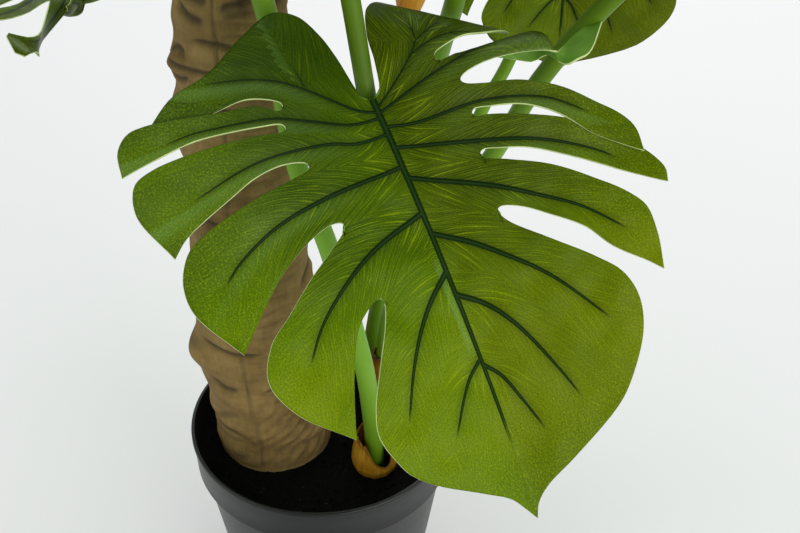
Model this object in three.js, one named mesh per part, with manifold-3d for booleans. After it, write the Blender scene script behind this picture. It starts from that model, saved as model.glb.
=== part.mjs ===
// Potted split-leaf monstera: a nursery pot with its fill, a wrapped trunk and twelve leaves on long stalks.
// Millimetres, +Z up, the origin at the middle of the pot's underside, the photographed front towards -Y.
import * as THREE from 'three';
import { mergeVertices } from 'three/addons/utils/BufferGeometryUtils.js';
import Module from 'manifold-3d';

const wasm = await Module();
wasm.setup();

// Pot and fill
const POT = { height: 155, rimRadius: 90, lipHeight: 28, lipStep: 4, baseRadius: 65, wall: 2.4, floor: 3 };
const POT_SEGMENTS = 44;
const DRAIN = { count: 6, radius: 5, ring: 46 };
const FILL_TOP = 135;
const GAP = 0.3;
const HOLE_DEPTH = 24;
const HOLE_CLEARANCE = 0.4;

// Trunk
const TRUNK = { x: -38, y: 7, foot: 108, soil: 138, top: 600, footRadius: 40, topRadius: 30 };
const TRUNK_SEGMENTS = 26;
const TRUNK_ROWS = 40;
const CROWN_RING = 19;
const CROWN_HOLE_DEPTH = 12;

// Blades
const BLADE_THICKNESS = 1.2;
const SEAT_GAP = 0.6;
const SLIT_START = 0.35;
const SURFACE = { arch: 0.9e-3, side: 0.9e-3, fold: 0.231, foldRound: 5, rear: 0.173e-3 };

// Stalks and sheaths
const STALK_SIDES = 8;
const STALK_STEP = 38;
const STALK_FOOT = 1.06;
const STALK_TAPER = 0.1;
const STALK_KNEE = 0.14;
const SHEATH_SIDES = 12;
const SHEATH_CLEARANCE = 0.7;

const MATERIALS = {
  pot: new THREE.MeshStandardMaterial({ color: 0x17181a, roughness: 0.45, metalness: 0 }),
  fill: new THREE.MeshStandardMaterial({ color: 0x0c0c0d, roughness: 0.95, metalness: 0 }),
  trunk: new THREE.MeshStandardMaterial({ color: 0x6b5a3c, roughness: 0.85, metalness: 0 }),
  sheath: new THREE.MeshStandardMaterial({ color: 0xc07a1e, roughness: 0.7, metalness: 0 }),
  stalk: new THREE.MeshStandardMaterial({ color: 0x4f8a34, roughness: 0.4, metalness: 0 }),
  blade: new THREE.MeshStandardMaterial({ color: 0x4b6d12, roughness: 0.5, metalness: 0 }),
};

const plant = new THREE.Group();
plant.name = 'potted_monstera';

// Repeatable random numbers from 0 to 1.
function makeRandom(seed) {
  let state = seed >>> 0;
  return () => {
    state = (state + 0x6d2b79f5) >>> 0;
    let mixed = Math.imul(state ^ (state >>> 15), 1 | state);
    mixed = (mixed + Math.imul(mixed ^ (mixed >>> 7), 61 | mixed)) ^ mixed;
    return ((mixed ^ (mixed >>> 14)) >>> 0) / 4294967296;
  };
}

function addMesh(name, geometry, material) {
  const mesh = new THREE.Mesh(geometry, material);
  mesh.name = name;
  plant.add(mesh);
  return mesh;
}

// Joining and cutting
function toSolid(geometry) {
  const bare = geometry.clone();
  for (const name of Object.keys(bare.attributes)) {
    if (name !== 'position') bare.deleteAttribute(name);
  }
  const merged = mergeVertices(bare, 1e-4);
  return new wasm.Manifold(new wasm.Mesh({
    numProp: 3,
    vertProperties: new Float32Array(merged.attributes.position.array),
    triVerts: new Uint32Array(merged.index.array),
  }));
}

function toGeometry(solid) {
  const { vertProperties, triVerts } = solid.getMesh();
  const geometry = new THREE.BufferGeometry();
  geometry.setAttribute('position', new THREE.BufferAttribute(new Float32Array(vertProperties), 3));
  geometry.setIndex(new THREE.BufferAttribute(new Uint32Array(triVerts), 1));
  geometry.computeVertexNormals();
  return geometry;
}

function cutHoles(geometry, holes, sides = 20) {
  let solid = toSolid(geometry);
  for (const { x, y, radius, low, high } of holes) {
    const cutter = new THREE.CylinderGeometry(radius, radius, high - low, sides);
    cutter.rotateX(Math.PI / 2);
    cutter.translate(x, y, (low + high) / 2);
    solid = solid.subtract(toSolid(cutter));
  }
  return toGeometry(solid);
}

// A solid turned about the Z axis from a profile of [radius, height] points.
function turned(profile, segments) {
  const points = profile.map(([radius, height]) => new THREE.Vector2(radius, height));
  const geometry = new THREE.LatheGeometry(points, segments);
  geometry.rotateX(Math.PI / 2);
  return geometry;
}

// Pot: a tapered wall that steps out to a tall lip, with drain holes round the middle of the floor.
const POT_SHOULDER = POT.height - POT.lipHeight;
const POT_LEDGE = { radius: POT.rimRadius - POT.lipStep - POT.wall + 1, z: POT_SHOULDER + POT.wall };

function potWallRadius(z) {
  const bodyTop = POT.rimRadius - POT.lipStep - 2;
  return THREE.MathUtils.lerp(POT.baseRadius, bodyTop, z / POT_SHOULDER);
}

function makePot() {
  const { height, rimRadius, lipStep, baseRadius, wall, floor } = POT;
  const shoulder = POT_SHOULDER;
  const profile = [
    [0, 0], [baseRadius - 2, 0], [baseRadius, 2], [potWallRadius(shoulder - 2), shoulder - 2],
    [rimRadius - lipStep + 2, shoulder], [rimRadius - 1, height - 4], [rimRadius, height - 3],
    [rimRadius, height - 0.6], [rimRadius - 0.6, height], [rimRadius - wall, height],
    [POT_LEDGE.radius, POT_LEDGE.z], [potWallRadius(shoulder) - wall, shoulder - 1],
    [potWallRadius(floor) - wall, floor], [0, floor],
  ];
  const drains = Array.from({ length: DRAIN.count }, (_, i) => {
    const angle = (2 * Math.PI * i) / DRAIN.count;
    return {
      x: DRAIN.ring * Math.cos(angle), y: DRAIN.ring * Math.sin(angle),
      radius: DRAIN.radius, low: -1, high: floor + 1,
    };
  });
  return cutHoles(turned(profile, POT_SEGMENTS), drains, 10);
}

// Fill: a cast block with a slightly uneven top and a plain hole for the trunk and for each stalk.
function makeFill(stalkHoles) {
  const { wall, floor } = POT;
  const profile = [
    [0, floor + GAP], [potWallRadius(floor) - wall - GAP, floor + GAP],
    [potWallRadius(POT_SHOULDER) - wall - GAP, POT_SHOULDER - 1],
    [POT_LEDGE.radius - GAP, POT_LEDGE.z + GAP], [POT_LEDGE.radius - GAP, FILL_TOP - 2],
    [75, FILL_TOP], [0, FILL_TOP],
  ];
  const trunkHole = {
    x: TRUNK.x, y: TRUNK.y, radius: TRUNK.footRadius + HOLE_CLEARANCE,
    low: TRUNK.foot - GAP, high: FILL_TOP + 20,
  };
  const block = cutHoles(turned(profile, POT_SEGMENTS), [trunkHole], TRUNK_SEGMENTS);
  return cutHoles(block, stalkHoles, 16);
}

// Trunk: a fabric-wrapped pole with a swollen foot, sagging rings, curved leaf scars and knots.
const KNOTS = [
  { z: 222, turn: 205, size: 5.5, spread: 15 }, { z: 395, turn: 185, size: 4.5, spread: 18 },
  { z: 505, turn: 320, size: 4, spread: 15 }, { z: 330, turn: 60, size: 4, spread: 16 },
  { z: 450, turn: 120, size: 4, spread: 15 }, { z: 262, turn: 345, size: 3.5, spread: 14 },
];
const RING_PITCH = 27;

function trunkRadius(z, turn) {
  const { soil, top, footRadius, topRadius } = TRUNK;
  if (z <= soil) return footRadius;
  const rise = (z - soil) / (top - soil);
  const plain = THREE.MathUtils.lerp(footRadius + 0.5, topRadius, THREE.MathUtils.smoothstep(rise, 0, 1));
  const foot = 4 * Math.exp(-(((z - soil - 22) / 20) ** 2));
  const ring = 0.8 * Math.sin((2 * Math.PI * (z + 7 * Math.sin(turn + z / 90))) / RING_PITCH);
  let knot = 0;
  for (const bump of KNOTS) {
    const away = Math.atan2(Math.sin(turn - bump.turn * THREE.MathUtils.DEG2RAD),
      Math.cos(turn - bump.turn * THREE.MathUtils.DEG2RAD)) * plain;
    knot += bump.size * Math.exp(-(away ** 2 + (z - bump.z) ** 2) / bump.spread ** 2);
  }
  const start = THREE.MathUtils.smoothstep(z, soil, soil + 14);
  const fade = start * (1 - THREE.MathUtils.smoothstep(z, top - 26, top));
  return plain + fade * (foot + ring + knot);
}

function trunkBow(z) {
  return -3.5 * Math.sin((Math.PI * (z - TRUNK.foot)) / (TRUNK.top - TRUNK.foot));
}

function makeTrunk(crownHoles) {
  const { x, y, foot, soil, top } = TRUNK;
  const heights = [foot, soil - 2];
  for (let row = 1; row <= TRUNK_ROWS; row += 1) heights.push(soil + ((top - soil) * row) / TRUNK_ROWS);
  const profile = [[0, foot], ...heights.map((z) => [trunkRadius(z, 0), z]), [0, top]];
  const geometry = turned(profile, TRUNK_SEGMENTS);
  const position = geometry.attributes.position;
  for (let i = 0; i < position.count; i += 1) {
    const px = position.getX(i);
    const py = position.getY(i);
    const z = position.getZ(i);
    const radius = Math.hypot(px, py);
    if (radius > 1) {
      const turn = Math.atan2(py, px);
      const shaped = trunkRadius(z, turn);
      position.setXY(i, shaped * Math.cos(turn), shaped * Math.sin(turn));
    }
    const bow = z <= soil ? 0 : trunkBow(z) * THREE.MathUtils.smoothstep(z, soil, soil + 60);
    position.setXY(i, position.getX(i) + x + bow, position.getY(i) + y);
  }
  return cutHoles(geometry, crownHoles, 12);
}

// A round body swept along a path from rings of { at, radius }, at being the distance along the path. It is
// capped at both ends, or joined from its last ring back to its first where it wraps round a bore.
function sweep(path, rings, sides, wrapped) {
  const length = path.getLength();
  const out = new THREE.Vector3(0.8, 0.6, 0);
  const coordinates = [];
  for (const { at, radius } of rings) {
    const share = Math.min(1, at / length);
    const centre = path.getPointAt(share);
    const tangent = path.getTangentAt(share);
    out.addScaledVector(tangent, -out.dot(tangent)).normalize();
    const across = new THREE.Vector3().crossVectors(tangent, out);
    for (let k = 0; k < sides; k += 1) {
      const angle = (2 * Math.PI * k) / sides;
      coordinates.push(...centre.clone()
        .addScaledVector(out, radius * Math.cos(angle)).addScaledVector(across, radius * Math.sin(angle)));
    }
  }
  const index = [];
  const last = rings.length - 1;
  for (let ring = 0; ring < (wrapped ? last + 1 : last); ring += 1) {
    const next = (ring + 1) % rings.length;
    for (let k = 0; k < sides; k += 1) {
      const [a, b] = [ring * sides + k, ring * sides + ((k + 1) % sides)];
      const [c, d] = [next * sides + k, next * sides + ((k + 1) % sides)];
      index.push(a, b, c, b, d, c);
    }
  }
  if (!wrapped) {
    for (let k = 1; k + 1 < sides; k += 1) {
      index.push(0, k + 1, k, last * sides, last * sides + k, last * sides + k + 1);
    }
  }
  const geometry = new THREE.BufferGeometry();
  geometry.setAttribute('position', new THREE.BufferAttribute(new Float32Array(coordinates), 3));
  geometry.setIndex(index);
  geometry.computeVertexNormals();
  return geometry;
}

// Sheath: a papery collar that follows a stalk, open where the stalk passes through it. Its stations are
// [distance along the stalk, outer radius].
function makeSheath(path, stalkRadius, stations) {
  const inner = (stalkRadius * STALK_FOOT + SHEATH_CLEARANCE) / Math.cos(Math.PI / SHEATH_SIDES);
  const rings = [
    ...stations.map(([at, outer]) => ({ at, radius: outer })),
    ...stations.toReversed().map(([at]) => ({ at, radius: inner })),
  ];
  return sweep(path, rings, SHEATH_SIDES, true);
}

// Blade outline in millimetres on the flattened leaf: [along the midrib, out from it]. Each side lists its
// lobes from the heart-shaped notch to the tip: the rear edge, the blunt end and the front edge of a lobe.
const LEAF_BASES = [-7, 0.5, 5, 20, 40, 70, 108, 150];
const NOTCH = [-9, 4];
const LEFT_SIDE = [
  {
    rear: [[-30, 8], [-52, 14]], end: [[-65, 30], [-47, 70], [-32, 106]],
    front: [[-29, 84], [-27, 62]], slit: [-17, 45],
  },
  {
    rear: [[-21, 62], [-22, 88]], end: [[-27, 120], [-20, 128], [-8, 131]],
    front: [[-14, 98], [-12, 66]], slit: [-6, 48],
  },
  {
    rear: [[-7, 66], [-8, 96]], end: [[3, 130], [18, 130], [37, 122]],
    front: [[24, 97], [12, 66]], slit: [16, 45],
  },
  {
    rear: [[20, 62], [28, 92]], end: [[44, 120], [65, 123], [90, 109]],
    front: [[70, 86], [54, 62]], slit: [48, 41],
  },
  {
    rear: [[58, 54], [74, 74]], end: [[98, 101], [122, 97], [144, 75]],
    front: [[124, 67], [103, 55]], slit: [88, 37],
  },
  {
    rear: [[100, 42], [120, 52]], end: [[141, 62], [156, 61], [170, 54]],
    front: [[150, 36], [130, 18]], slit: null,
  },
  {
    rear: null, end: [[170, 54], [190, 27], [212, 0]],
    front: null, slit: null,
  },
];
const RIGHT_SIDE = [
  {
    rear: [[-26, 9], [-43, 14]], end: [[-55, 26], [-46, 50], [-36, 76]],
    front: [[-31, 66], [-24, 52]], slit: [-15, 37],
  },
  {
    rear: [[-22, 62], [-28, 88]], end: [[-30, 108], [-16, 124], [4, 128]],
    front: [[3, 100], [-3, 70]], slit: [1, 45],
  },
  {
    rear: [[6, 62], [16, 84]], end: [[36, 112], [52, 118], [66, 114]],
    front: [[44, 92], [28, 66]], slit: [18, 43],
  },
  {
    rear: [[32, 64], [50, 92]], end: [[72, 119], [82, 122], [90, 117]],
    front: [[70, 92], [54, 64]], slit: [39, 39],
  },
  {
    rear: [[52, 54], [68, 78]], end: [[92, 107], [110, 107], [125, 100]],
    front: [[104, 80], [84, 58]], slit: [68, 35],
  },
  {
    rear: [[82, 44], [102, 64]], end: [[128, 85], [148, 82], [165, 72]],
    front: [[150, 46], [130, 22]], slit: null,
  },
  {
    rear: null, end: [[165, 72], [190, 38], [212, 0]],
    front: null, slit: null,
  },
];

function splinePoint(points, amount) {
  const places = points.map(([u, v]) => new THREE.Vector3(u, v, 0));
  const curve = new THREE.CatmullRomCurve3(places, false, 'centripetal');
  const point = curve.getPoint(amount);
  return [point.x, point.y];
}

const mix = (a, b, amount) => [a[0] + (b[0] - a[0]) * amount, a[1] + (b[1] - a[1]) * amount];

// One long edge of a lobe: shared with its neighbour as far as the slit's round end, then free.
function lobeEdge(baseU, root, outer, corner, s) {
  if (s <= SLIT_START) return mix([baseU, 0], root, s / SLIT_START);
  return splinePoint([root, ...outer, corner], (s - SLIT_START) / (1 - SLIT_START));
}

// The lobes of one side as patches P(s, t), s from the midrib outwards and t across from rear to front.
function sidePatches(side) {
  return side.map((lobe, i) => {
    const [rearBase, frontBase] = [LEAF_BASES[i], LEAF_BASES[i + 1]];
    const [rearCorner, frontCorner] = [lobe.end[0], lobe.end[2]];
    const before = side[i - 1];
    const rearRoot = i === 0 ? NOTCH : before.slit;
    const seam = (from, base) => (s) => (
      splinePoint([[base, 0], from.front[1], from.front[0], from.end[2]], s)
    );
    const midrib = (s) => mix([frontBase, 0], frontCorner, s);
    const rear = rearRoot
      ? (s) => lobeEdge(rearBase, rearRoot, lobe.rear, rearCorner, s)
      : seam(before, rearBase);
    let front = midrib;
    if (lobe.slit) front = (s) => lobeEdge(frontBase, lobe.slit, [...lobe.front].reverse(), frontCorner, s);
    else if (lobe.front) front = seam(lobe, frontBase);
    return (s, t) => {
      const [near, far, base] = [rear(s), front(s), mix([rearBase, 0], [frontBase, 0], t)];
      const end = splinePoint(lobe.end, t);
      const across = mix(near, far, t);
      const along = mix(base, end, s);
      const flat = mix(mix([rearBase, 0], [frontBase, 0], t), mix(rearCorner, frontCorner, t), s);
      return [across[0] + along[0] - flat[0], across[1] + along[1] - flat[1]];
    };
  });
}

const PATCHES = { left: sidePatches(LEFT_SIDE), right: sidePatches(RIGHT_SIDE) };

// Height of the blade over its own plane: arched to the tip, drooping to the sides, folded at the midrib.
function bladeHeight(u, v, shape) {
  const fold = SURFACE.fold * Math.sqrt(v * v + SURFACE.foldRound ** 2);
  const along = u > 0 ? -SURFACE.arch * shape.arch * u * u : -SURFACE.rear * u * u;
  const wave = shape.wave * (v / 120) ** 2 * Math.sin(u / 24 + shape.phase + (v > 0 ? 1.3 : 0));
  return along - SURFACE.side * shape.side * v * v + fold * shape.fold + wave;
}

// Frame of a leaf: u along the midrib to the tip, v to its right-hand side and n out of its upper face.
function leafFrame(leaf) {
  const { u, n } = leaf.axes ?? axesFromAngles(leaf);
  const along = new THREE.Vector3(...u).normalize();
  const side = new THREE.Vector3(...n).cross(along).normalize();
  const normal = along.clone().cross(side);
  return { along, side, normal };
}

// Midrib direction from compass and droop angles in degrees, the blade rolled about it.
function axesFromAngles({ compass, droop, roll = 0 }) {
  const [turn, dip, bank] = [compass, droop, roll].map(THREE.MathUtils.degToRad);
  const u = new THREE.Vector3(Math.cos(dip) * Math.cos(turn), Math.cos(dip) * Math.sin(turn), -Math.sin(dip));
  const level = new THREE.Vector3(Math.sin(turn), -Math.cos(turn), 0);
  const n = level.clone().negate().cross(u).negate();
  n.multiplyScalar(Math.cos(bank)).addScaledVector(level, Math.sin(bank));
  return { u: u.toArray(), n: n.toArray() };
}

function makeBlade(leaf) {
  const { along, side, normal } = leafFrame(leaf);
  const { size, rows, columns, shape, bends = {} } = leaf;
  const flats = [];
  const lifts = [];
  const faces = [];
  const found = new Map();
  const vertex = (u, v, lift) => {
    const key = `${u.toFixed(3)},${v.toFixed(3)}`;
    if (!found.has(key)) {
      found.set(key, flats.length);
      flats.push([u, v]);
      lifts.push(lift);
    }
    return found.get(key);
  };
  const flip = leaf.mirrored ? -1 : 1;
  for (const [name, sign] of [['left', -flip], ['right', flip]]) {
    PATCHES[name].forEach((patch, index) => {
      const bend = bends[`${name}${index}`] ?? 0;
      const grid = rows.map((s) => columns.map((t) => {
        const [u, v] = patch(s, t);
        const free = Math.max(0, (s - SLIT_START) / (1 - SLIT_START));
        return vertex(u, sign * v, bend * free * free * t * t);
      }));
      for (let i = 0; i + 1 < rows.length; i += 1) {
        for (let j = 0; j + 1 < columns.length; j += 1) {
          const [a, b, c, d] = [grid[i][j], grid[i + 1][j], grid[i + 1][j + 1], grid[i][j + 1]];
          for (const face of [[a, b, d], [b, c, d]]) {
            if (new Set(face).size === 3) faces.push(sign > 0 ? face.toReversed() : face);
          }
        }
      }
    });
  }
  const tops = flats.map(([u, v], i) => {
    const height = bladeHeight(u, v, shape) + lifts[i];
    return new THREE.Vector3(...leaf.at).addScaledVector(along, size * u)
      .addScaledVector(side, size * v).addScaledVector(normal, size * height);
  });
  return thicken(tops, faces, normal);
}

// A sheet of triangles given a thickness along its vertex normals, with walls along its free edges.
function thicken(points, faces, upwards) {
  const turn = facesUpwards(points, faces, upwards) ? faces : faces.map((face) => face.toReversed());
  const normals = points.map(() => new THREE.Vector3());
  const edges = new Map();
  for (const [a, b, c] of turn) {
    const cross = points[b].clone().sub(points[a]).cross(points[c].clone().sub(points[a]));
    for (const i of [a, b, c]) normals[i].add(cross);
    for (const [p, q] of [[a, b], [b, c], [c, a]]) edges.set(`${p}>${q}`, [p, q]);
  }
  const count = points.length;
  const coordinates = new Float32Array(count * 6);
  points.forEach((point, i) => {
    const half = normals[i].normalize().multiplyScalar(BLADE_THICKNESS / 2);
    point.clone().add(half).toArray(coordinates, 3 * i);
    point.clone().sub(half).toArray(coordinates, 3 * (count + i));
  });
  const index = turn.flatMap(([a, b, c]) => [a, b, c, count + a, count + c, count + b]);
  for (const [p, q] of edges.values()) {
    if (!edges.has(`${q}>${p}`)) index.push(q, p, count + p, q, count + p, count + q);
  }
  const geometry = new THREE.BufferGeometry();
  geometry.setAttribute('position', new THREE.BufferAttribute(coordinates, 3));
  geometry.setIndex(index);
  geometry.computeVertexNormals();
  return geometry;
}

function facesUpwards(points, faces, upwards) {
  const [a, b, c] = faces[0].map((i) => points[i]);
  return b.clone().sub(a).cross(c.clone().sub(a)).dot(upwards) > 0;
}

// Stalk: a round stem along a smooth route that meets the blade's underside square, at the notch.
function stalkPath(leaf) {
  const { normal } = leafFrame(leaf);
  const crease = leaf.size * SURFACE.fold * SURFACE.foldRound * leaf.shape.fold;
  const seat = crease - BLADE_THICKNESS / 2 - SEAT_GAP;
  const at = new THREE.Vector3(...leaf.at);
  const route = leaf.route.map((point) => new THREE.Vector3(...point));
  route.push(at.clone().addScaledVector(normal, -16), at.clone().addScaledVector(normal, seat));
  return new THREE.CatmullRomCurve3(route, false, 'centripetal');
}

function makeStalk(leaf) {
  const path = stalkPath(leaf);
  const length = path.getLength();
  const straight = leaf.route[1][2] - leaf.route[0][2];
  const steps = Math.round((length - straight) / STALK_STEP);
  const upper = Array.from({ length: steps + 1 }, (_, i) => straight + ((length - straight) * i) / steps);
  const places = [0, ...upper];
  const rings = places.map((at) => {
    const share = at / length;
    const knee = STALK_KNEE * THREE.MathUtils.smoothstep(share, 0.9, 0.97);
    const taper = THREE.MathUtils.lerp(STALK_FOOT, 1 - STALK_TAPER, share);
    return { at, radius: leaf.stalkRadius * (taper + knee) };
  });
  return sweep(path, rings, STALK_SIDES, false);
}

const FINE = { rows: [0, 0.175, 0.35, 0.5, 0.66, 0.83, 1], columns: [0, 0.5, 1] };
const COARSE = { rows: [0, 0.35, 0.6, 0.82, 1], columns: [0, 1] };
const random = makeRandom(20);

function plainShape() {
  return {
    arch: 0.8 + 0.5 * random(), side: 0.8 + 0.6 * random(), fold: 0.8 + 0.4 * random(),
    wave: 3 + 3 * random(), phase: 6 * random(),
  };
}

// The place on the trunk's top where a stalk stands, and the two route points that start it there.
function crownStart(turn, lean = 0) {
  const angle = THREE.MathUtils.degToRad(turn);
  const x = TRUNK.x + CROWN_RING * Math.cos(angle);
  const y = TRUNK.y + CROWN_RING * Math.sin(angle);
  const low = TRUNK.top - CROWN_HOLE_DEPTH + GAP;
  return [[x, y, low], [x, y, TRUNK.top + 8 + lean]];
}

function soilStart(x, y) {
  return [[x, y, FILL_TOP - HOLE_DEPTH + GAP], [x, y, FILL_TOP + 12]];
}

// The leaves: where each is seated, how its blade lies and the route of its stalk.
const LEAVES = [
  {
    name: 'front', size: 1, at: [42, -90.3, 450], ...FINE, stalkRadius: 5.6,
    axes: { u: [0.402, -0.691, -0.6], n: [0.155, -0.595, 0.789] },
    shape: { arch: 1, side: 1, fold: 1, wave: 0, phase: 0 }, bends: { right1: 16 },
    route: [...crownStart(-45), [-16, -22, 640], [4, -48, 625], [20, -62, 560], [29, -68, 500]],
  },
  {
    name: 'low_left', size: 0.92, at: [-125, -125, 735], ...COARSE, stalkRadius: 6.4,
    compass: -130, droop: 32, roll: 8, shape: plainShape(),
    route: [...soilStart(36, -26), [34, -38, 200], [30, -50, 250], [11.5, -49, 337], [-3.7, -44, 386],
      [-17, -43, 489], [-48, -72, 610]],
  },
  {
    name: 'low_front_right', size: 0.9, at: [180, -110, 770], ...COARSE, stalkRadius: 6,
    compass: -48, droop: 28, roll: -6, shape: plainShape(), mirrored: true,
    route: [...soilStart(30, 58), [52, 42, 300], [74, 0, 430], [82, -28, 482], [108, -58, 610]],
  },
  {
    name: 'low_right', size: 0.95, at: [270, -50, 610], ...COARSE, stalkRadius: 6,
    compass: -12, droop: 32, roll: 5, shape: plainShape(),
    route: [...soilStart(42, 36), [48, 30, 230], [109, 0, 370], [132, -22, 434], [164, -30, 484]],
  },
  {
    name: 'right_hanging', size: 0.78, at: [149, 60, 540], ...COARSE, stalkRadius: 4.6,
    axes: { u: [0.02, 0.035, -1], n: [-0.02, -1, -0.035] },
    shape: { arch: 0.65, side: 1, fold: 1, wave: 0, phase: 0 },
    route: [...soilStart(56, 48), [80, 70, 270], [106.5, 86, 347], [124.5, 98, 380], [146, 110, 460],
      [151, 106, 515]],
  },
  {
    name: 'tall_front', size: 1, at: [62, -70, 880], ...COARSE, stalkRadius: 5.4,
    compass: -78, droop: 22, roll: 4, shape: plainShape(),
    route: [...soilStart(14, 68), [38, 58, 300], [57, 28, 440], [62, 18, 500], [72, -10, 680]],
  },
  {
    name: 'left_drooping', size: 0.762, at: [-167, 149, 410], ...COARSE, stalkRadius: 5.2,
    compass: 175.2, droop: -22.8, roll: -10.8, shape: plainShape(),
    route: [...crownStart(190), [-72, 10, 650], [-90, 50, 610], [-105, 95, 500], [-125, 135, 425],
      [-150, 150, 398]],
  },
  {
    name: 'back_left', size: 0.9, at: [-190, 165, 740], ...COARSE, stalkRadius: 5.2,
    compass: 138, droop: 30, roll: 6, shape: plainShape(), mirrored: true,
    route: [...crownStart(140), [-78, 50, 680], [-135, 110, 740]],
  },
  {
    name: 'back', size: 1, at: [-15, 215, 790], ...COARSE, stalkRadius: 5.2,
    compass: 86, droop: 32, roll: -5, shape: plainShape(),
    route: [...crownStart(90), [-36, 60, 690], [-24, 130, 775]],
  },
  {
    name: 'back_right', size: 0.85, at: [170, 150, 750], ...COARSE, stalkRadius: 5,
    compass: 22, droop: 30, roll: 6, shape: plainShape(),
    route: [...crownStart(40), [10, 40, 690], [95, 95, 745]],
  },
  {
    name: 'high_left', size: 0.85, at: [-165, -5, 925], ...COARSE, stalkRadius: 5,
    compass: 172, droop: 30, roll: 8, shape: plainShape(), mirrored: true,
    route: [...crownStart(240), [-52, -18, 700], [-95, -14, 860]],
  },
  {
    name: 'high_top', size: 0.75, at: [10, 60, 1010], ...COARSE, stalkRadius: 4.6,
    compass: 40, droop: 34, roll: -6, shape: plainShape(),
    route: [...crownStart(0, 4), [-14, 18, 700], [-10, 32, 880]],
  },
];

const soilStalks = LEAVES.filter((leaf) => leaf.route[0][2] < FILL_TOP);
const crownStalks = LEAVES.filter((leaf) => leaf.route[0][2] > FILL_TOP);

function holesFor(leaves, low, high) {
  return leaves.map(({ route: [[x, y]], stalkRadius }) => (
    { x, y, radius: stalkRadius * STALK_FOOT + HOLE_CLEARANCE, low, high }
  ));
}

const soilHoles = holesFor(soilStalks, FILL_TOP - HOLE_DEPTH, FILL_TOP + 10);
const crownHoles = holesFor(crownStalks, TRUNK.top - CROWN_HOLE_DEPTH, TRUNK.top + 5);

addMesh('pot', makePot(), MATERIALS.pot);
addMesh('fill', makeFill(soilHoles), MATERIALS.fill);
addMesh('trunk', makeTrunk(crownHoles), MATERIALS.trunk);
for (const leaf of LEAVES) {
  addMesh(`blade_${leaf.name}`, makeBlade(leaf), MATERIALS.blade);
  addMesh(`stalk_${leaf.name}`, makeStalk(leaf), MATERIALS.stalk);
}

// Sheaths: two stand on the fill round the feet of stalks, one clasps a stalk where it leaves its neighbours.
const FOOT_AT = HOLE_DEPTH;
const SHEATHS = [
  {
    name: 'front_foot', leaf: 'low_left',
    stations: [[FOOT_AT, 15], [FOOT_AT + 10, 14], [FOOT_AT + 24, 10.5], [FOOT_AT + 36, 9]],
  },
  {
    name: 'rear_foot', leaf: 'low_right',
    stations: [[FOOT_AT, 11], [FOOT_AT + 14, 10.5], [FOOT_AT + 36, 9.2], [FOOT_AT + 46, 8.4]],
  },
  {
    name: 'upper', leaf: 'tall_front',
    stations: [[352, 7.8], [362, 10], [384, 9.6], [402, 7.8]],
  },
];
for (const { name, leaf: owner, stations } of SHEATHS) {
  const leaf = LEAVES.find((candidate) => candidate.name === owner);
  addMesh(`sheath_${name}`, makeSheath(stalkPath(leaf), leaf.stalkRadius, stations), MATERIALS.sheath);
}

export default plant;
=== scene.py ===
"""Looks of the potted split-leaf monstera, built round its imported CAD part: metres, +Z up, front at -Y."""

import logging
import math
import random
from dataclasses import astuple, dataclass, field
from enum import Enum
from typing import Callable, Sequence

import bmesh
import bpy
import numpy as np
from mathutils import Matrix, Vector, noise


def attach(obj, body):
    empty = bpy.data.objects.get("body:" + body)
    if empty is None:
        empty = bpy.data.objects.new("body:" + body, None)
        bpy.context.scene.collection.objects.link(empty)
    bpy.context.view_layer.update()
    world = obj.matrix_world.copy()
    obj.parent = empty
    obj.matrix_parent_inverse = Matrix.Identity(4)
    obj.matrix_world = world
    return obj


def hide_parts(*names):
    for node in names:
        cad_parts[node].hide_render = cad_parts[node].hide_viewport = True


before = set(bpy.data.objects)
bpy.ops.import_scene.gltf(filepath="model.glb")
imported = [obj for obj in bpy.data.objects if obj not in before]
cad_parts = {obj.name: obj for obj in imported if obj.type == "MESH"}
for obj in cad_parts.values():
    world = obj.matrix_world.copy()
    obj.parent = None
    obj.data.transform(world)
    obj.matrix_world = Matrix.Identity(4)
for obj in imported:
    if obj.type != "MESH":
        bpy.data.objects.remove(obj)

LOG = logging.getLogger("monstera")
MM = 0.001
UV_UNIT = 100.0
WELD = 0.02 * MM
SMALL_WELD = 0.005 * MM
Colour = tuple[float, float, float]
Point = tuple[float, float, float]
Spot = tuple[float, float]


class Side(Enum):
    """The two halves of a leaf, by the sign of the distance out from the midrib."""

    LEFT = -1
    RIGHT = 1


class Slot(Enum):
    """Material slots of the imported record."""

    POT = "pot"
    FILL = "fill"
    TRUNK = "trunk"
    SHEATH = "sheath"
    STALK = "stalk"
    BLADE = "blade"


# Small sums


def smooth(value: np.ndarray | float, low: float, high: float) -> np.ndarray | float:
    """Ease from 0 at low to 1 at high.

    Args:
        value: The number or array to ease.
        low: Where the result leaves 0.
        high: Where the result reaches 1.

    Returns:
        The eased share.
    """
    share = np.clip((value - low) / (high - low), 0.0, 1.0)
    return share * share * (3.0 - 2.0 * share)


def repeatable(seed: int) -> Callable[[], float]:
    """Make the generator of numbers from 0 to 1 that the CAD source uses.

    Args:
        seed: Where the generator starts.

    Returns:
        A function that gives the next number.
    """
    mask, stride = 0xFFFFFFFF, 0x6D2B79F5
    state = seed

    def draw() -> float:
        """Give the next number.

        Returns:
            A number from 0 to 1.
        """
        nonlocal state
        state = (state + stride) & mask
        mixed = ((state ^ (state >> 15)) * (1 | state)) & mask
        mixed = (mixed + (((mixed ^ (mixed >> 7)) * (61 | mixed)) & mask)) & mask ^ mixed
        return ((mixed ^ (mixed >> 14)) & mask) / (mask + 1)

    return draw


def turned(turn: np.ndarray, start: float) -> np.ndarray:
    """Signed angles from one direction to others, from -pi to pi."""
    return np.arctan2(np.sin(turn - start), np.cos(turn - start))


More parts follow.
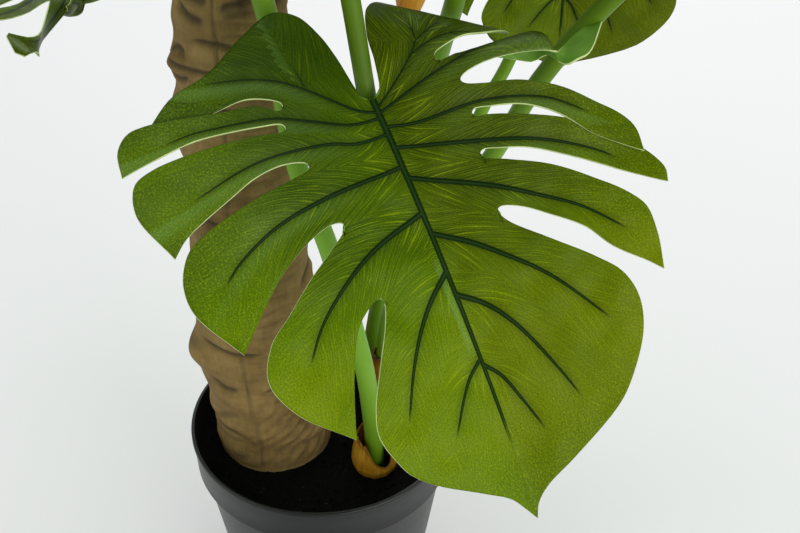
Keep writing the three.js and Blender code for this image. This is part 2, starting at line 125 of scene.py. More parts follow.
def spline(points: Sequence[Sequence[float]], reach: np.ndarray) -> np.ndarray:
    """Read a centripetal Catmull-Rom curve as the CAD source does.

    Args:
        points: The points that the curve passes through.
        reach: Places on it: 0 is the first point, 1 the second, and so on.

    Returns:
        One row of coordinates for each place.
    """
    knots = np.array(points, float)
    knots = np.vstack([2 * knots[0] - knots[1], knots, 2 * knots[-1] - knots[-2]])
    steps = np.sqrt(np.linalg.norm(np.diff(knots, axis=0), axis=1))
    span = np.clip(reach.astype(int), 0, len(points) - 2)
    w = (reach - span)[:, None]
    p0, p1, p2, p3 = (knots[span + k] for k in range(4))
    d0, d1, d2 = (np.maximum(steps[span + k], 1e-6)[:, None] for k in range(3))
    leave = ((p1 - p0) / d0 - (p2 - p0) / (d0 + d1) + (p2 - p1) / d1) * d1
    arrive = ((p2 - p1) / d1 - (p3 - p1) / (d1 + d2) + (p3 - p2) / d2) * d1
    square = -3 * p1 + 3 * p2 - 2 * leave - arrive
    cube = 2 * p1 - 2 * p2 + leave + arrive
    return p1 + w * (leave + w * (square + w * cube))


@dataclass
class Route:
    """A smooth path through points in millimetres, read by distance along it."""

    points: Sequence[Sequence[float]]
    samples: int = 600
    probe: float = 0.8
    first_out: Point = (0.8, 0.6, 0.0)

    def __post_init__(self) -> None:
        """Measure the path once."""
        self.line = spline(self.points, np.linspace(0, len(self.points) - 1, self.samples))
        gaps = np.linalg.norm(np.diff(self.line, axis=0), axis=1)
        self.along = np.concatenate([[0.0], np.cumsum(gaps)])
        self.length = float(self.along[-1])

    def at(self, distances: np.ndarray) -> np.ndarray:
        """Places at the given distances along the path."""
        return np.stack([np.interp(distances, self.along, axis) for axis in self.line.T], axis=1)

    def frames(self, distances: np.ndarray) -> tuple[np.ndarray, np.ndarray, np.ndarray]:
        """Places and two crosswise directions that turn as little as possible.

        Args:
            distances: Distances along the path, in millimetres.

        Returns:
            The places, the outward directions and the directions across both.
        """
        places = self.at(distances)
        after = np.minimum(distances + self.probe, self.length)
        before = np.maximum(distances - self.probe, 0.0)
        ahead = self.at(after) - self.at(before)
        tangents = ahead / np.linalg.norm(ahead, axis=1)[:, None]
        out = np.array(self.first_out)
        outs = []
        for tangent in tangents:
            out = out - tangent * (out @ tangent)
            out = out / np.linalg.norm(out)
            outs.append(out)
        outward = np.array(outs)
        return places, outward, np.cross(tangents, outward)


# Shader building


class Wire:
    """One shader socket. Sums on it add Math nodes."""

    def __init__(self, graph: "Graph", socket: bpy.types.NodeSocket) -> None:
        """Hold the socket and the graph that it is in."""
        self.graph = graph
        self.socket = socket

    def calc(self, operation: str, *others: "Wire | float", clamp: bool = False) -> "Wire":
        """Add a Math node on this socket.

        Args:
            operation: The Math node's operation.
            others: The further values, as sockets or numbers.
            clamp: Whether the result stays from 0 to 1.

        Returns:
            The result's socket.
        """
        values = {index: value for index, value in enumerate((self, *others))}
        return self.graph.node("ShaderNodeMath", {"operation": operation, "use_clamp": clamp}, values)

    def __add__(self, other: "Wire | float") -> "Wire":
        """Add."""
        return self.calc("ADD", other)

    __radd__ = __add__

    def __sub__(self, other: "Wire | float") -> "Wire":
        """Subtract."""
        return self.calc("SUBTRACT", other)

    def __rsub__(self, other: float) -> "Wire":
        """Subtract from a number."""
        return self.graph.node("ShaderNodeMath", {"operation": "SUBTRACT"}, {0: other, 1: self})

    def __mul__(self, other: "Wire | float") -> "Wire":
        """Multiply."""
        return self.calc("MULTIPLY", other)

    __rmul__ = __mul__

    def __truediv__(self, other: "Wire | float") -> "Wire":
        """Divide."""
        return self.calc("DIVIDE", other)

    def __rtruediv__(self, other: float) -> "Wire":
        """Divide a number by this."""
        return self.graph.node("ShaderNodeMath", {"operation": "DIVIDE"}, {0: other, 1: self})

    def __abs__(self) -> "Wire":
        """Drop the sign."""
        return self.calc("ABSOLUTE")

    def __pow__(self, other: float) -> "Wire":
        """Raise to a power."""
        return self.calc("POWER", other)

    def clamp(self, low: float = 0.0, high: float = 1.0) -> "Wire":
        """Keep the value from low to high."""
        return self.calc("MAXIMUM", low).calc("MINIMUM", high)

    def ease(self, low: float, high: float) -> "Wire":
        """Ease from 0 at low to 1 at high."""
        inputs = {"Value": self, "From Min": low, "From Max": high}
        return self.graph.node("ShaderNodeMapRange", {"interpolation_type": "SMOOTHSTEP"}, inputs)


class Graph:
    """The node tree of one material."""

    def __init__(self, name: str) -> None:
        """Start an empty material.

        Args:
            name: The material's name.
        """
        self.material = bpy.data.materials.new(name)
        self.material.use_nodes = True
        self.tree = self.material.node_tree
        self.tree.nodes.clear()

    def node(self, kind: str, settings: dict, inputs: dict, output: int | str = 0) -> Wire:
        """Add a node.

        Args:
            kind: The node's type.
            settings: Properties of the node, set before its sockets.
            inputs: Values or sockets by name or index.
            output: Which output to give back.

        Returns:
            The chosen output's socket.
        """
        made = self.tree.nodes.new(kind)
        for key, value in settings.items():
            if key == "stops":
                self._stops(made, value)
            else:
                setattr(made, key, value)
        for key, value in inputs.items():
            socket = made.inputs[key]
            if isinstance(value, Wire):
                self.tree.links.new(value.socket, socket)
            else:
                socket.default_value = self._fit(socket, value)
        return Wire(self, made.outputs[output])

    @staticmethod
    def _fit(socket: bpy.types.NodeSocket, value: float | tuple) -> float | tuple:
        """Give a colour the fourth number that a colour socket wants."""
        wants_alpha = isinstance(value, tuple) and len(value) == 3 and socket.type == "RGBA"
        return (*value, 1.0) if wants_alpha else value

    @staticmethod
    def _stops(ramp_node: bpy.types.Node, stops: Sequence[tuple[float, Colour]]) -> None:
        """Set a colour ramp's stops.

        Args:
            ramp_node: The ramp.
            stops: Each stop's place and colour.
        """
        elements = ramp_node.color_ramp.elements
        while len(elements) < len(stops):
            elements.new(0.5)
        for element, (position, colour) in zip(elements, stops):
            element.position = position
            element.color = (*colour, 1.0)

    def uv(self, name: str) -> Wire:
        """Coordinates of a UV map."""
        return self.node("ShaderNodeUVMap", {"uv_map": name}, {})

    def place(self) -> Wire:
        """Object coordinates."""
        return self.node("ShaderNodeTexCoord", {}, {}, "Object")

    def value(self, name: str) -> Wire:
        """A number stored on the mesh."""
        return self.node("ShaderNodeAttribute", {"attribute_name": name}, {}, "Fac")

    def split(self, vector: Wire) -> tuple[Wire, Wire, Wire]:
        """The three parts of a vector."""
        made = self.node("ShaderNodeSeparateXYZ", {}, {0: vector}).socket.node
        return tuple(Wire(self, made.outputs[k]) for k in range(3))

    def join(self, x: Wire | float, y: Wire | float, z: Wire | float = 0.0) -> Wire:
        """A vector from three parts."""
        return self.node("ShaderNodeCombineXYZ", {}, {0: x, 1: y, 2: z})

    def stretch(self, vector: Wire, scale: Point, shift: Point = (0.0, 0.0, 0.0)) -> Wire:
        """Scale and shift coordinates."""
        return self.node("ShaderNodeMapping", {}, {"Vector": vector, "Scale": scale, "Location": shift})

    def noise(self, vector: Wire, scale: float, detail: float = 2.0, rough: float = 0.5) -> Wire:
        """Soft noise from 0 to 1."""
        inputs = {"Vector": vector, "Scale": scale, "Detail": detail, "Roughness": rough}
        return self.node("ShaderNodeTexNoise", {}, inputs)

    def ramp(self, share: Wire, stops: Sequence[tuple[float, Colour]]) -> Wire:
        """Colour by share."""
        return self.node("ShaderNodeValToRGB", {"stops": stops}, {0: share})

    def mix(self, low: Wire | Colour, high: Wire | Colour, share: Wire | float) -> Wire:
        """Blend two colours.

        Args:
            low: The colour at share 0.
            high: The colour at share 1.
            share: How much of the second colour shows.

        Returns:
            The blended colour's socket.
        """
        return self.node("ShaderNodeMix", {"data_type": "RGBA"}, {0: share, 6: low, 7: high}, 2)

    def tint(self, colour: Wire, factor: Wire) -> Wire:
        """Multiply a colour by a number.

        Args:
            colour: The colour.
            factor: The number.

        Returns:
            The product's socket.
        """
        grey = self.join(factor, factor, factor)
        settings = {"data_type": "RGBA", "blend_type": "MULTIPLY"}
        return self.node("ShaderNodeMix", settings, {0: 1.0, 6: colour, 7: grey}, 2)

    def bump(self, height: Wire, depth: float, under: Wire | None = None) -> Wire:
        """Turn a height from 0 to 1 into a normal.

        Args:
            height: The relief.
            depth: The real depth of the relief, in metres.
            under: A coarser normal below this one.

        Returns:
            The bent normal's socket.
        """
        inputs = {"Strength": 1.0, "Distance": depth, "Height": height}
        if under is not None:
            inputs["Normal"] = under
        return self.node("ShaderNodeBump", {}, inputs)

    def finish(self, colour: Wire | Colour, rough: Wire | float, normal: Wire | None = None,
               **constants: Wire | float | Colour) -> bpy.types.Material:
        """Close the graph with a Principled surface.

        Args:
            colour: The base colour.
            rough: The roughness.
            normal: The bent normal, if there is one.
            constants: Further sockets by name with underscores.

        Returns:
            The finished material.
        """
        inputs = {"Base Color": colour, "Roughness": rough}
        if normal is not None:
            inputs["Normal"] = normal
        inputs.update({key.replace("_", " "): value for key, value in constants.items()})
        surface = self.node("ShaderNodeBsdfPrincipled", {}, inputs)
        self.node_output(surface)
        return self.material

    def node_output(self, surface: Wire) -> None:
        """Link a surface to the material's output."""
        output = self.tree.nodes.new("ShaderNodeOutputMaterial")
        self.tree.links.new(surface.socket, output.inputs["Surface"])


# Mesh building


Place = Callable[[np.ndarray, np.ndarray], np.ndarray]


def mapped_grid(bm: bmesh.types.BMesh, columns: int, rows: int, place: Place) -> tuple[list, np.ndarray]:
    """Add a grid to a bmesh and carry each of its points to its place.

    Args:
        bm: The bmesh to add to.
        columns: Faces along s.
        rows: Faces along t.
        place: Gives coordinates in millimetres for arrays of s and t from 0 to 1.

    Returns:
        The new vertices and their shares as rows of s and t.
    """
    made = bmesh.ops.create_grid(bm, x_segments=columns, y_segments=rows, size=0.5)["verts"]
    shares = np.array([(vert.co.x + 0.5, vert.co.y + 0.5) for vert in made])
    places = place(shares[:, 0], shares[:, 1]) * MM
    for vert, spot in zip(made, places):
        vert.co = spot
    return made, shares


def set_uv(bm: bmesh.types.BMesh, name: str, verts: list, values: np.ndarray) -> None:
    """Store a pair of numbers for each vertex on the corners of its faces.

    Args:
        bm: The bmesh that holds the vertices.
        name: The UV map's name.
        verts: The vertices.
        values: One pair for each vertex.
    """
    layer = bm.loops.layers.uv.get(name) or bm.loops.layers.uv.new(name)
    for vert, value in zip(verts, values):
        for loop in vert.link_loops:
            loop[layer].uv = value


def make_object(name: str, bm: bmesh.types.BMesh, materials: Sequence[bpy.types.Material],
                outwards: bool = True) -> bpy.types.Object:
    """Turn a bmesh into a smooth-shaded object at the origin.

    Args:
        name: The piece's name.
        bm: The bmesh, which is freed.
        materials: The piece's materials in slot order.
        outwards: Whether the faces of a closed form are turned outwards.

    Returns:
        The new object.
    """
    if outwards:
        bmesh.ops.recalc_face_normals(bm, faces=bm.faces)
    mesh = bpy.data.meshes.new(name)
    bm.to_mesh(mesh)
    bm.free()
    mesh.shade_smooth()
    for material in materials:
        mesh.materials.append(material)
    made = bpy.data.objects.new(name, mesh)
    bpy.context.scene.collection.objects.link(made)
    return made


def settle(piece: bpy.types.Object, slot: Slot, *nodes: str) -> None:
    """Let a piece ride on the plant and stand for its CAD nodes.

    Args:
        piece: The finished piece.
        slot: The record's material slot; not used.
        nodes: The CAD nodes that it replaces.
    """
    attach(piece, "root")
    if nodes:
        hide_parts(*nodes)
    LOG.info("%s: %d faces", piece.name, len(piece.data.polygons))


# Leaf outline, in millimetres on the flattened leaf: along the midrib, out from it


@dataclass(frozen=True)
class Lobe:
    """One lobe's free edges from its rear root round to its front root."""

    rear: Sequence[Spot] | None
    end: Sequence[Spot]
    front: Sequence[Spot] | None
    slit: Spot | None


LEFT_LOBES = (
    Lobe([(-16, 6), (-34, 8.5), (-48, 12)],
         [(-61, 19), (-66, 31), (-58, 50), (-46, 72), (-39, 94), (-28, 110)],
         [(-24, 96), (-25, 77), (-26, 60)], (-17, 45)),
    Lobe([(-21.5, 57.5), (-23.5, 74), (-26.5, 94), (-28.5, 112)],
         [(-27, 121), (-20, 128), (-7.5, 130.5)],
         [(-12, 108), (-14, 91), (-11, 60)], (-6.5, 48)),
    Lobe([(-6.5, 62), (-8, 82), (-8, 102), (-6.5, 116)],
         [(-2, 126.5), (12, 131), (37.5, 122)],
         [(30, 113), (18, 85), (13, 72), (11, 57)], (15.5, 45)),
    Lobe([(19.5, 55), (23, 76), (34.5, 112)],
         [(41.5, 119), (52, 123.5), (65, 123), (90, 109)],
         [(68.5, 86.5), (58.5, 73.5), (51, 60), (47, 49)], (48, 40.5)),
    Lobe([(59, 52.5), (68, 66), (81, 83)],
         [(90.5, 95.5), (106, 103), (124, 96), (145, 74)],
         [(137, 71.5), (113, 62), (96, 52)], (88, 37)),
    Lobe([(100, 40), (117.5, 50), (136, 60)],
         [(148, 63), (162, 59), (169.5, 55)],
         [(150, 36), (130, 18)], None),
    Lobe(None, [(169.5, 55), (178, 46), (191.5, 23), (199.5, 10), (207, 4), (213, 0)], None, None),
)
RIGHT_LOBES = (
    Lobe([(-25.5, 9), (-40, 11)],
         [(-54, 17), (-61, 32), (-54, 56), (-40, 76), (-23, 87)],
         [(-19.5, 72), (-21.5, 58), (-20.5, 48)], (-15.5, 37)),
    Lobe([(-13, 52), (-14, 68), (-13, 84)],
         [(-12, 106), (-8, 128), (4, 144)],
         [(5, 114), (0.5, 90), (-5, 64)], (1, 44)),
    Lobe([(6.5, 54), (11.5, 71), (22, 89), (35, 102)],
         [(47, 112), (57, 116), (69.5, 114.5)],
         [(62, 106), (51, 94), (35, 82), (24, 68), (18.5, 52)], (18.5, 42.5)),
    Lobe([(22.5, 50), (30, 68), (40.5, 88), (53, 104)],
         [(64, 113.5), (74, 120), (81, 122.5), (87.5, 121)],
         [(82.5, 113.5), (57.5, 80), (45, 61), (40, 48)], (39, 38)),
    Lobe([(47, 49), (57.5, 68), (72, 86)],
         [(86, 100.5), (95, 106), (109, 106), (126.5, 102)],
         [(120, 96), (106, 81.5), (92.5, 72.5), (80, 58), (71.5, 47)], (68, 35)),
    Lobe([(76, 38), (91, 53.5), (107.5, 71)],
         [(120, 81.5), (134, 85), (149, 81.5), (167, 69)],
         [(150, 46), (130, 22)], None),
    Lobe(None, [(167, 69), (178, 57.5), (193, 27.5), (200.5, 10), (206.5, 3), (213, 0)], None, None),
)
LEFT_VEINS = (
    [(0, 0), (-4, 9), (-14, 21), (-22, 30), (-29.5, 40), (-35.5, 53), (-39, 67), (-41, 78)],
    [(-22, 30), (-30, 31), (-37, 32)],
    [(3, 0), (1.5, 17), (-6, 35), (-13, 52), (-17, 80), (-18, 92), (-17, 108)],
    [(12, 0), (12, 17), (8, 31), (5.5, 60), (7, 76), (14, 104)],
    [(30, 0), (33.5, 45), (39, 72), (49, 94), (58, 106)],
    [(55, 0), (64, 29), (74, 48), (90, 69), (106, 82)],
    [(86, 0), (97.5, 14), (110, 25), (125, 35), (148, 47)],
    [(131, 0), (138, 9), (146.5, 16), (163, 27)],
)
RIGHT_VEINS = (
    [(-2, 0), (-11.5, 14), (-22, 27), (-28, 32), (-36, 33), (-43, 33)],
    [(-28, 32), (-31, 40), (-34, 49)],
    [(-22, 27), (-25, 39), (-25, 51), (-22, 62)],
    [(0.5, 0), (-4, 16.5), (-9, 37), (-11, 52), (-10.5, 64), (-6, 80), (-3, 92)],
    [(8, 0), (12, 16), (14.5, 51), (25, 80.5), (41, 99)],
    [(19.5, 0), (30, 32), (43, 68), (60, 95), (68, 103)],
    [(36, 0), (57, 39), (69, 57), (82, 75), (102, 94)],
    [(66, 0), (76.5, 15.5), (90.5, 31), (107, 47), (139, 69)],
    [(98, 0), (107.5, 12), (121.5, 22), (151, 35), (168, 41)],
    [(134, 0), (142.5, 7), (156.5, 12.5), (176, 19)],
)

# Where the lobes meet along the midrib, and how the notch and a slit's end are rounded
LOBE_BASES = (-7, 0.5, 5, 20, 40, 70, 108, 150)
NOTCH = (-9, 4)
NOTCH_BEHIND = (-6, -4)
SLIT_START = 0.35
ROUND_SHARE = 0.12
ROUND_OUT, ROUND_ACROSS = 1.5, 2.1


def slit_shoulders(root: Spot, behind: Spot, ahead: Spot) -> tuple[np.ndarray, np.ndarray]:
    """Find the points that round a slit's end.

    Args:
        root: The slit's innermost point.
        behind: The next point of the edge behind the slit.
        ahead: The next point of the edge in front of it.

    Returns:
        One point beside the root on the edge behind, and one on the edge in front.
    """
    middle, behind, ahead = (np.array(spot, float) for spot in (root, behind, ahead))
    outward = (behind + ahead) / 2 - middle
    outward = outward / np.linalg.norm(outward)
    across = np.array([-outward[1], outward[0]])
    across = across * np.sign(across @ (behind - ahead))
    out = middle + ROUND_OUT * outward
    return out + ROUND_ACROSS * across, out - ROUND_ACROSS * across


@dataclass(frozen=True)
class LobePatch:
    """A lobe as a patch between its rear edge, front edge, base on the midrib and blunt end."""

    lobes: Sequence[Lobe]
    index: int

    def free_edge(self, base: float, chain: Sequence[Spot], last: int, s: np.ndarray) -> np.ndarray:
        """Read a long edge: straight to the slit's round end, round it, then free.

        Args:
            base: Where the edge starts on the midrib.
            chain: The slit's other shoulder, its root, this edge's shoulder and the points after it.
            last: The place in the chain where the edge ends.
            s: Shares out from the midrib.

        Returns:
            One point of the edge for each share.
        """
        start, root = np.array([base, 0.0]), np.array(chain[1], float)
        inner = start + (root - start) * (s / SLIT_START)[:, None]
        share = np.clip((s - SLIT_START) / (1 - SLIT_START), 0.0, 1.0)
        rounded = 1 + share / ROUND_SHARE
        beyond = 2 + (share - ROUND_SHARE) / (1 - ROUND_SHARE) * (last - 2)
        free = spline(chain, np.where(share < ROUND_SHARE, rounded, beyond))
        return np.where((s <= SLIT_START)[:, None], inner, free)

    def slit_after(self, index: int) -> tuple[np.ndarray, np.ndarray]:
        """The two shoulders of the slit in front of a lobe."""
        behind, ahead = self.lobes[index].front[-1], self.lobes[index + 1].rear[0]
        return slit_shoulders(self.lobes[index].slit, behind, ahead)

    def outer_chain(self, index: int) -> tuple[list[Spot], int]:
        """The rear edge and the end of a lobe as one chain of points.

        Args:
            index: The lobe's place in the table.

        Returns:
            The points, and the place in them where the end starts.
        """
        lobe = self.lobes[index]
        if index == 0:
            chain = [NOTCH_BEHIND, NOTCH, *lobe.rear]
        elif lobe.rear:
            behind, ahead = self.slit_after(index - 1)
            chain = [behind, self.lobes[index - 1].slit, ahead, *lobe.rear]
        else:
            chain = [self.lobes[index - 1].end[-2]]
        start = len(chain)
        following = [] if lobe.slit or index == len(self.lobes) - 1 else [self.lobes[index + 1].end[1]]
        return [*chain, *lobe.end, *following], start

    def seam(self, lobe: Lobe, base: float, s: np.ndarray) -> np.ndarray:
        """Read the inner line between two lobes that no slit parts."""
        chain = [(base, 0), lobe.front[1], lobe.front[0], lobe.end[-1]]
        return spline(chain, 3 * s)

    def points(self, s: np.ndarray, t: np.ndarray) -> np.ndarray:
        """Flat places of the patch.

        Args:
            s: Shares from the midrib outwards.
            t: Shares across the lobe from rear to front.

        Returns:
            One pair of coordinates for each share pair.
        """
        lobe = self.lobes[self.index]
        rear_base, front_base = LOBE_BASES[self.index], LOBE_BASES[self.index + 1]
        rear_corner, front_corner = np.array(lobe.end[0], float), np.array(lobe.end[-1], float)
        chain, end_start = self.outer_chain(self.index)
        if lobe.rear:
            rear = self.free_edge(rear_base, chain, end_start, s)
        else:
            rear = self.seam(self.lobes[self.index - 1], rear_base, s)
        if lobe.slit:
            behind, ahead = self.slit_after(self.index)
            front = self.free_edge(front_base, [ahead, lobe.slit, behind, *lobe.front[::-1], lobe.end[-1]],
                                   len(lobe.front) + 3, s)
        elif lobe.front:
            front = self.seam(lobe, front_base, s)
        else:
            start = np.array([front_base, 0.0])
            front = start + (front_corner - start) * s[:, None]
        end = spline(chain, end_start + t * (len(lobe.end) - 1))
        s, t = s[:, None], t[:, None]
        base = np.array([[rear_base, 0.0]]) * (1 - t) + np.array([[front_base, 0.0]]) * t
        flat = base * (1 - s) + (rear_corner * (1 - t) + front_corner * t) * s
        return rear * (1 - t) + front * t + base * (1 - s) + end * s - flat


@dataclass
class VeinSet:
    """The veins of one half of a leaf, which the surface creases to and the finish follows."""

    veins: Sequence[Sequence[Spot]]

    def __post_init__(self) -> None:
        """Draw each vein finely once."""
        self.routes = [Route(vein, 60) for vein in self.veins]

    def measure(self, flat: np.ndarray) -> tuple[np.ndarray, np.ndarray, np.ndarray]:
        """Measure points against every vein.

        Args:
            flat: Points along and out from the midrib.

        Returns:
            For each point and vein, how far along it the point is, how far off it and what is left of it.
        """
        alongs, offs, lefts = [], [], []
        for route in self.routes:
            starts, ends = route.line[:-1], route.line[1:]
            reach = ends - starts
            lengths = np.linalg.norm(reach, axis=1)
            away = flat[:, None, :] - starts[None]
            share = np.clip((away * reach).sum(2) / lengths**2, 0.0, 1.0)
            gap = away - share[..., None] * reach
            far = np.linalg.norm(gap, axis=2)
            near = far.argmin(1)
            pick = np.arange(len(flat))
            turn = reach[near, 0] * gap[pick, near, 1] - reach[near, 1] * gap[pick, near, 0]
            last = reach[-1] / lengths[-1]
            beyond = np.maximum((flat - route.line[-1]) @ last, 0.0)
            along = route.along[near] + share[pick, near] * lengths[near] + beyond
            side = np.where(beyond > 0, np.abs((flat - route.line[-1]) @ np.array([-last[1], last[0]])),
                            far[pick, near])
            alongs.append(along)
            offs.append(side * np.where(turn < 0, -1.0, 1.0))
            lefts.append(route.length - along)
        return np.stack(alongs, 1), np.stack(offs, 1), np.stack(lefts, 1)


LEAF_SIDES = {
    Side.LEFT: (LEFT_LOBES, VeinSet(LEFT_VEINS)),
    Side.RIGHT: (RIGHT_LOBES, VeinSet(RIGHT_VEINS)),
}


ARCH = 0.9e-3
DROOP = 0.9e-3
REAR = 0.173e-3
FOLD = 0.231
FOLD_ROUND = 5.0
WAVE_REACH = 120.0
WAVE_LENGTH = 24.0
WAVE_LAG = 1.3
QUILT_DEPTH = 1.3
QUILT_GAIN = 2.4
QUILT_REACH = 6.5
QUILT_SPREAD = 6.0
QUILT_SUNK = 0.6
QUILT_FROM = 12.0
OUTER_PART = (15.0, 95.0)
SEAT_GAP = 1.2
SEAT_RUN = 16.0


@dataclass(frozen=True)
class LeafShape:
    """How a blade departs from flat."""

    arch: float = 1.0
    side: float = 1.0
    fold: float = 1.0
    wave: float = 0.0
    phase: float = 0.0


@dataclass(frozen=True)
class Station:
    """One cross-section of a lobe that turns over, from its front edge back.

    The edge lies at along and out on the flat leaf, lift above it. The section is width long. It leaves the
    edge at a heading in degrees, 0 rearward and -90 down, and a negative curl bends it from end to end.
    """

    along: float
    out: float
    width: float
    heading: float = 0.0
    curl: float = 0.0
    lift: float = 0.0


@dataclass(frozen=True)
class Twist:
    """The outer part of a lobe, which rolls under and shows its underside."""

    start: float
    full: float
    rearward: Spot
    stations: Sequence[Station]

    def section(self, s: np.ndarray, t: np.ndarray) -> tuple[np.ndarray, np.ndarray, np.ndarray]:
        """Lay out the rolled part.

        Args:
            s: Shares out from the midrib.
            t: Shares across the lobe from rear to front.

        Returns:
            The front edge's flat places, the points' own flat places and their heights above that edge.
        """
        reach = np.clip((s - self.start) / (1 - self.start), 0.0, 1.0) * (len(self.stations) - 1)
        along, out, width, heading, curl, lift = spline([astuple(one) for one in self.stations], reach).T
        first, turn = np.radians(heading), np.minimum(np.radians(curl), -0.001)
        last = first + turn * (1 - t)
        back = width * (np.sin(last) - np.sin(first)) / turn
        up = width * (np.cos(first) - np.cos(last)) / turn
        edge = np.stack([along, out], 1)
        return edge, edge + back[:, None] * np.array(self.rearward), up + lift

    def share(self, s: np.ndarray) -> np.ndarray:
        """How far the roll has taken over from the lobe's usual shape."""
        return smooth(s, self.start, self.full)[:, None]


@dataclass(frozen=True)
class Curl:
    """A straight line across the leaf past which one half of it rolls down and back."""

    side: Side
    start: Spot
    ahead: Spot
    radius: float

    def wrap(self, flat: np.ndarray) -> tuple[np.ndarray, np.ndarray]:
        """Roll flat points round.

        Args:
            flat: Points along and out from the midrib.

        Returns:
            The rolled points and how far each sinks below the leaf.
        """
        along = np.array(self.ahead, float) / np.hypot(*self.ahead)
        out = np.array([-along[1], along[0]])
        beyond = np.maximum((flat - np.array(self.start)) @ out, 0.0)
        turn = beyond / self.radius
        kept = self.radius * np.sin(turn)
        return flat + (kept - beyond)[:, None] * out, self.radius * (1 - np.cos(turn))


@dataclass(frozen=True)
class Leaf:
    """One leaf: where its blade is seated and lies, and the route of its stalk, in millimetres."""

    name: str
    size: float
    at: Point
    stalk_radius: float
    route: Sequence[Point]
    compass: float = 0.0
    droop: float = 0.0
    roll: float = 0.0
    axes: tuple[Point, Point] | None = None
    shape: LeafShape = LeafShape()
    mirrored: bool = False
    bends: dict[tuple[Side, int], float] = field(default_factory=dict)
    twists: dict[tuple[Side, int], Twist] = field(default_factory=dict)
    curl: Curl | None = None
    fine: bool = False

    def directions(self) -> tuple[np.ndarray, np.ndarray, np.ndarray]:
        """Directions along the midrib, out to its right and out of the upper face.

        Returns:
            The three directions, each of length 1.
        """
        if self.axes:
            along, normal = (np.array(axis, float) for axis in self.axes)
        else:
            turn, dip, bank = (math.radians(angle) for angle in (self.compass, self.droop, self.roll))
            ahead = (math.cos(dip) * math.cos(turn), math.cos(dip) * math.sin(turn), -math.sin(dip))
            along = np.array(ahead)
            level = np.array([math.sin(turn), -math.cos(turn), 0.0])
            normal = np.cross(level, along) * math.cos(bank) + level * math.sin(bank)
        along = along / np.linalg.norm(along)
        side = np.cross(normal, along)
        side = side / np.linalg.norm(side)
        return along, side, np.cross(along, side)

    def seat_route(self) -> Route:
        """The stalk's path from its foot to the underside of the blade.

        Returns:
            The route.
        """
        normal = self.directions()[2]
        seat = self.size * FOLD * FOLD_ROUND * self.shape.fold - SEAT_GAP
        at = np.array(self.at, float)
        return Route([*self.route, at - SEAT_RUN * normal, at + seat * normal])


